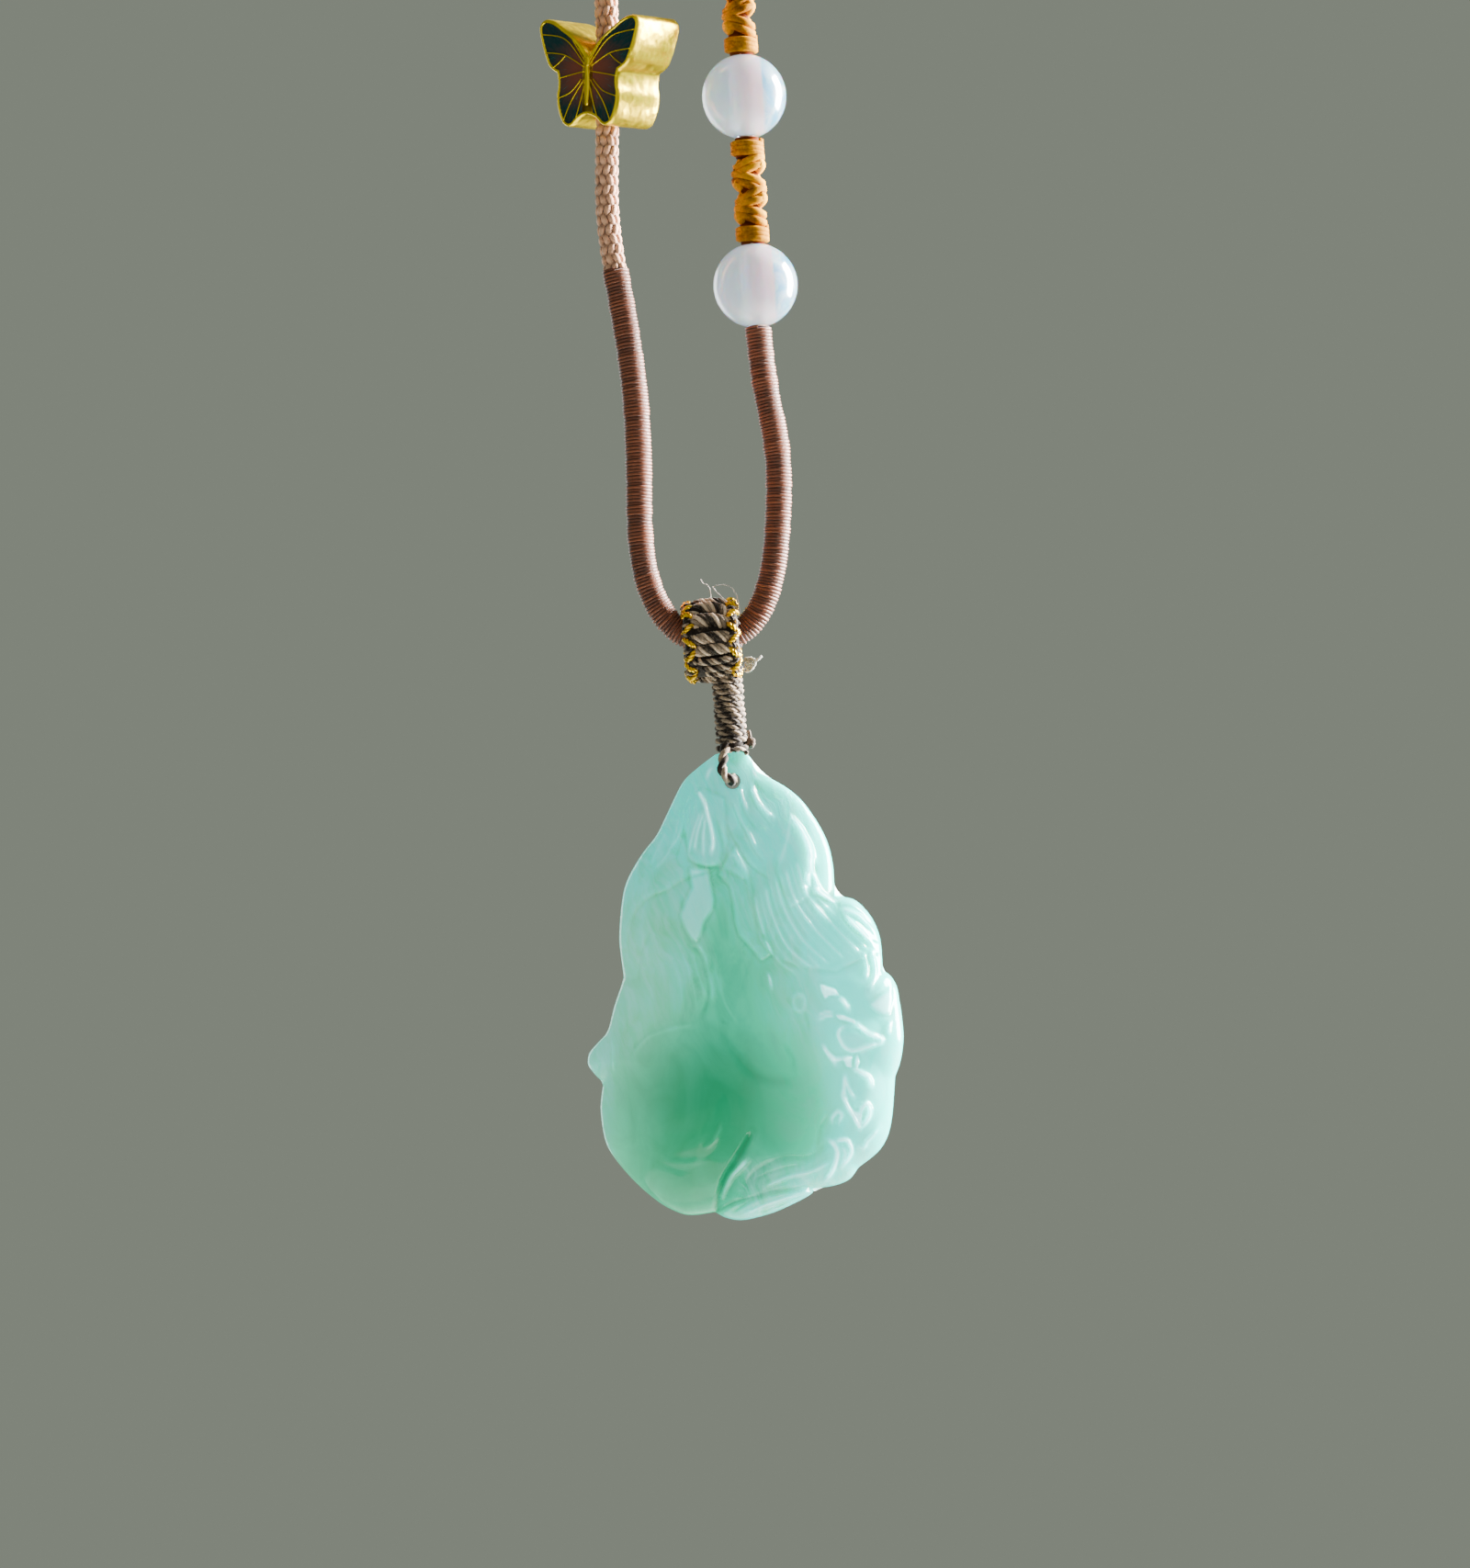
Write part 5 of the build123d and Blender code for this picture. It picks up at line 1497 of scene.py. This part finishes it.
class PENDANT_OT_jade(bpy.types.Operator):
    """Carved jade: a curled fox in relief, with its tail round a ball"""
    bl_idname = "pendant.jade"
    bl_label = "Jade"

    # Depth of the face, of the back at the stone's bottom and at its top, and width of the rounded
    # rim, in millimetres. How thick the top of the face is, as a share, and the rings of facets
    # round the back before its flat middle.
    front, back_low, back_high, edge = 5.2, 3.6, 1.3, 3.4
    thin_top, back_rings = 0.42, 12
    # Depth of the cut round a sharp field, and height of a whole ridge, as shares of the relief.
    outline_cut, ridge_height = 0.12, 1.4

    def to_size(self, place):
        return np.array((place[0] * self.wide, (1 - place[1]) * self.high))

    def carved(self, points):
        """Height of the carved face over the rim, in millimetres."""
        depth = near_line(points, self.rim + self.rim[:1])
        rounding = np.sqrt(1 - (1 - np.minimum(depth / self.edge, 1)) ** 2)
        crown = 0.62 + 0.38 * ease(depth / (0.4 * self.wide))
        carving = np.zeros(len(points))
        # self.pale gathers how pale each point is painted: paler raised fields, painted highlights
        # on facets and ridges, and painted shade in grooves and along the cut round sharp fields.
        self.pale = np.zeros(len(points))
        for rise, soft, pale, ring in FIELDS.values():
            ring = [self.to_size(p) for p in shares(ring)]
            edge = near_line(points, ring + ring[:1])
            signed = np.where(inside(points, ring), edge, -edge)
            level = ease(0.5 + signed / (soft * self.wide))
            carving += rise * self.relief * level
            outline = (soft < 0.03) * np.exp(-(signed / (0.006 * self.wide) + 0.8) ** 2)
            carving -= self.outline_cut * self.relief * outline
            # Paleness of the field, less along its outline: painted shade in the cut.
            self.pale += pale * level - 0.5 * outline
        for across, down, w, h, rise in BOSSES.values():
            reach = (points - self.to_size((across, down))) / (np.array((w, h)) * self.wide)
            carving += rise * self.relief * np.maximum(0, 1 - (reach ** 2).sum(1)) ** 1.1
        for half, rise, line in sum(CUTS.values(), []) + self.strands():
            line = [self.to_size(p) for p in smooth_line(shares(line), 4)]
            half *= self.wide
            ridge = np.exp(-(near_line(points, line) / half) ** 2)
            if np.hypot(*(line[0] - line[-1])) > half:
                ends = [np.hypot(*(points - end).T) for end in (line[0], line[-1])]
                ridge *= np.clip(0.2 + np.minimum(*ends) / (3 * half), 0, 1)
            carving += self.ridge_height * rise * self.relief * ridge
            # Painted highlight along a ridge, painted shade along a groove.
            self.pale += ridge * (2.2 if rise > 0 else 1.6) * rise
        fall = 1 - points[:, 1] / self.high
        thin = self.thin_top + (1 - self.thin_top) * ease(fall / 0.33)
        level = (self.front - 1.5 * self.relief) * crown * thin
        return np.maximum(0.3 * level, level + carving * thin) * rounding

    def strands(self):
        """Fine ridges of the mane, evenly between its two guides."""
        first, last, count = MANE
        kinds = ((0.0055, 0.3), (0.004, 0.16))
        return [(*kinds[k % 2], [tuple(a + (b - a) * k / (count - 1) for a, b in zip(*pair))
                                 for pair in zip(first, last)]) for k in range(count)]

    def net(self, columns, rows):
        """Points over the whole face, rows from top to bottom, columns from left to right.

        It is stretched between the rim's four corners, and then evened out.
        """
        rim = np.array(self.rim)
        marks = [int(np.argmin(np.hypot(*(rim - self.to_size(corner)).T)))
                 for corner in shares(NET_CORNERS)]

        def side(first, last, count):
            span = (last - first) % len(rim)
            path = rim[[(first + k) % len(rim) for k in range(span + 1)]]
            reach = np.concatenate(([0], np.cumsum(np.hypot(*np.diff(path, axis=0).T))))
            return np.stack([np.interp(spaced(count) * reach[-1], reach, path[:, n])
                             for n in (0, 1)], 1)

        top, right = side(marks[0], marks[1], columns), side(marks[1], marks[2], rows)
        bottom, left = side(marks[2], marks[3], columns)[::-1], side(marks[3], marks[0], rows)[::-1]
        t, s = spaced(rows)[:, None, None], spaced(columns)[None, :, None]
        found = ((1 - t) * top[None] + t * bottom[None]
                 + (1 - s) * left[:, None] + s * right[:, None]
                 - (1 - s) * (1 - t) * top[0] - s * (1 - t) * top[-1]
                 - (1 - s) * t * bottom[0] - s * t * bottom[-1])
        for _ in range(round(12 * (rows / 70) ** 2)):
            found[1:-1, 1:-1] = (found[:-2, 1:-1] + found[2:, 1:-1] + found[1:-1, :-2]
                                 + found[1:-1, 2:]) / 4
        return found.reshape(-1, 2)

    def execute(self, context):
        sizes = settings("jade")
        self.wide, self.high, self.relief = sizes.width / MM, sizes.height / MM, sizes.relief / MM
        columns, rows, low = sizes.columns, sizes.rows, self.back_rings
        self.rim = [self.to_size(p) for part in STONE_OUTLINE.values()
                    for p in smooth_line(shares(part), 6)[:-1]]
        flat = self.net(columns, rows)
        i, j = np.mgrid[0:rows + 1, 0:columns + 1]
        ring = np.minimum(np.minimum(i, rows - i), np.minimum(j, columns - j)).ravel()
        height = np.where(ring > 0, self.carved(flat), 0)
        pale = np.where(ring > 0, self.pale, 0)
        back = self.back_low + (self.back_high - self.back_low) * flat[:, 1] / self.high
        back *= np.sqrt(1 - (1 - np.minimum(ring / low, 1)) ** 2)
        kept = (ring > 0) & (ring <= low)
        number_behind = np.arange(len(flat))
        number_behind[kept] = len(flat) + np.arange(kept.sum())
        places = np.concatenate([np.column_stack((flat[:, 0], -height, flat[:, 1])),
                                 np.column_stack((flat[kept, 0], back[kept], flat[kept, 1]))])

        def behind(face):
            return tuple(int(number_behind[r * (columns + 1) + c]) for r, c in reversed(face))

        shape = Shape()
        for r in range(rows):
            for c in range(columns):
                cell = ((r, c), (r, c + 1), (r + 1, c + 1), (r + 1, c))
                shape.faces.append(tuple(y * (columns + 1) + x for y, x in cell))
                if min(r, c, rows - 1 - r, columns - 1 - c) < low:
                    shape.faces.append(behind(cell))
        last, right = rows - low, columns - low
        middle = [(low, c) for c in range(low, right)] + [(r, right) for r in range(low, last)]
        middle += [(last, c) for c in range(right, low, -1)]
        middle += [(r, low) for r in range(last, low, -1)]
        shape.faces.append(behind(middle))

        hole = self.to_size(*shares([HOLE]))
        shift = (corners("jade_fox")[1] / MM).y - float(back.max())
        turn = Matrix.Rotation(sizes.lean, 3, "Y")
        hang = Vector((THREAD_PLACE[0], 0, PIVOT.z + THREAD_PLACE[1]))
        shape.points = [(turn @ Vector((x - hole[0], y + shift, z - hole[1])) + hang) * MM
                        for x, y, z in places]
        shape.shades = [0.5] * len(shape.points)
        made = piece("jade_stone", shape, self.material(), "drop", "jade", "jade_fox")
        self.tint(made.data, np.concatenate([flat, flat[kept]]), np.concatenate([pale, pale[kept]]),
                  kept.sum())
        drill(made, (hang + FRONT * 9) * MM, (hang - FRONT * 9) * MM, UP, HOLE_RADIUS * MM,
              "MANIFOLD")
        return {"FINISHED"}

    def tint(self, mesh, places, pale, behind):
        """How deep the green is, how grey the stone, how pale its carving is painted, and how
        strong a painted glow is, at each point.
        """
        across, down = places[:, 0] / self.wide, 1 - places[:, 1] / self.high
        green = np.zeros(len(places))
        for x, y, w, h, depth in GREENS:
            reach = ((across - x) / w) ** 2 + ((down - y) * self.high / self.wide / h) ** 2
            green = 1 - (1 - green) * (1 - depth * np.exp(-reach))
        grey = ease((0.45 - across) / 0.3) * ease((down - 0.15) / 0.3) * (1 - green)
        fur = ease((0.62 - green) / 0.4) * ease((0.78 - across) / 0.1)
        fur = np.maximum(fur, ease((down - 0.84) / 0.06) * ease((across - 0.45) / 0.05))
        # Painted glow: stronger towards the right, where the window light falls, and on the painted
        # highlights of the carving; weaker on the back.
        painted_glow = 0.3 + 0.28 * ease((across - 0.4) / 0.6) + 0.3 * ease((pale - 0.5) / 1.3)
        painted_glow[-behind:] *= 0.3
        for name, values in (("green", green), ("grey", grey), ("painted_glow", painted_glow), ("pale", pale),
                             ("fur", fur)):
            mark_points(mesh, name, values.astype(np.float32))

    def material(self):
        """Translucent jade, deeper green in its heart, with pale clouds and a wet polish; painted
        light whitens its right side and its carving, and its emission paints a glow.
        """
        sizes = settings("jade")
        made, tree, shader = new_material(
            "polished_jade", Roughness=0.13, IOR=1.55, Subsurface_Weight=0.9,
            Subsurface_Scale=0.0025, Subsurface_Radius=(0.35, 1.0, 0.95), Specular_IOR_Level=0.15,
            Coat_Weight=0.25, Coat_Roughness=0.03, Emission_Strength=2.4)
        green, grey, painted_glow, pale, fur = [mark_of(tree, name) for name in (
            "green", "grey", "painted_glow", "pale", "fur")]
        clouds = clouds_in(tree, 150.0, 1.6)
        wave = maths(tree, "MULTIPLY", maths(tree, "SUBTRACT", clouds["Clouds"], 0.5),
                     maths(tree, "MULTIPLY", maths(tree, "SUBTRACT", 1.1, green), 0.4))
        # Paler where the pale mark is high: paler fields, and painted highlights on facets and
        # ridges.
        level = maths(tree, "SUBTRACT", maths(tree, "ADD", green, wave),
                      maths(tree, "MULTIPLY", pale, 0.3), True)
        ramp = add_node(tree, "ValToRGB", {0: level})
        stops = ramp.color_ramp.elements
        stops[0].color, stops[1].color = (*sizes.pale, 1), (*sizes.deep, 1)
        stops.new(0.45).color = (*sizes.mint, 1)
        body = mix_colours(tree, maths(tree, "MULTIPLY", grey, 0.6), ramp.outputs[0],
                           colour_of("9ce6b4"))
        # Painted light: whiter clouds towards the right, where the window light falls.
        right = stretch(tree, painted_glow, 0.3, 0.58, 0.0, 0.4)
        hairs = maths(tree, "MULTIPLY", fur, clouds["Fur"])
        # Mixed towards near white: the painted light on the right, the painted highlights and paler
        # fields of the carving, and the fur.
        for much in (maths(tree, "MULTIPLY", right, clouds["Clouds"]),
                     stretch(tree, pale, 0.45, 1.7, 0.0, 0.9),
                     maths(tree, "MULTIPLY", hairs, 0.3)):
            body = mix_colours(tree, much, body, colour_of("b0ffff"))
        black = (0, 0, 0)
        # The base colour is darkened, and the emission paints a glow of the body colour, as strong
        # as the painted glow mark.
        tree.links.new(mix_colours(tree, 0.4, body, black), shader.inputs["Base Color"])
        tree.links.new(mix_colours(tree, painted_glow, black, body), shader.inputs["Emission Color"])
        bump(tree, shader, hairs, 0.35, 0.0001)
        return made


class PENDANT_PT_panel(bpy.types.Panel):
    """Everything that makes the pendant, in order"""
    bl_idname = "PENDANT_PT_panel"
    bl_label = "Jade Fox Pendant"
    bl_space_type = "VIEW_3D"
    bl_region_type = "UI"
    bl_category = "Pendant"

    def draw(self, context):
        for made in MAKERS:
            self.layout.operator(made.bl_idname)
        for name, group in GROUPS.items():
            box = self.layout.box()
            box.label(text=name.capitalize())
            for key in group.__annotations__:
                box.prop(settings(name), key)


GROUPS = {"view": PendantView, "cords": PendantCords, "beads": PendantBeads,
          "butterfly": PendantButterfly, "bail": PendantBail, "jade": PendantJade}
MAKERS = [PENDANT_OT_stage, PENDANT_OT_braided_cord, PENDANT_OT_wrapped_cord,
          PENDANT_OT_knotted_cord, PENDANT_OT_beads, PENDANT_OT_sleeve, PENDANT_OT_butterfly,
          PENDANT_OT_bail, PENDANT_OT_stem, PENDANT_OT_jade]


def register():
    for made in [*GROUPS.values(), *MAKERS, PENDANT_PT_panel]:
        bpy.utils.register_class(made)
    for name, group in GROUPS.items():
        setattr(bpy.types.Scene, "pendant_" + name, bpy.props.PointerProperty(type=group))


def unregister():
    for name in GROUPS:
        delattr(bpy.types.Scene, "pendant_" + name)
    for made in reversed([*GROUPS.values(), *MAKERS, PENDANT_PT_panel]):
        bpy.utils.unregister_class(made)


def main():
    register()
    for made in MAKERS:
        area, name = made.bl_idname.split(".")
        if getattr(getattr(bpy.ops, area), name)() != {"FINISHED"}:
            raise RuntimeError(made.bl_label + " was not finished")
    bpy.context.view_layer.update()


if __name__ == "__main__":
    main()
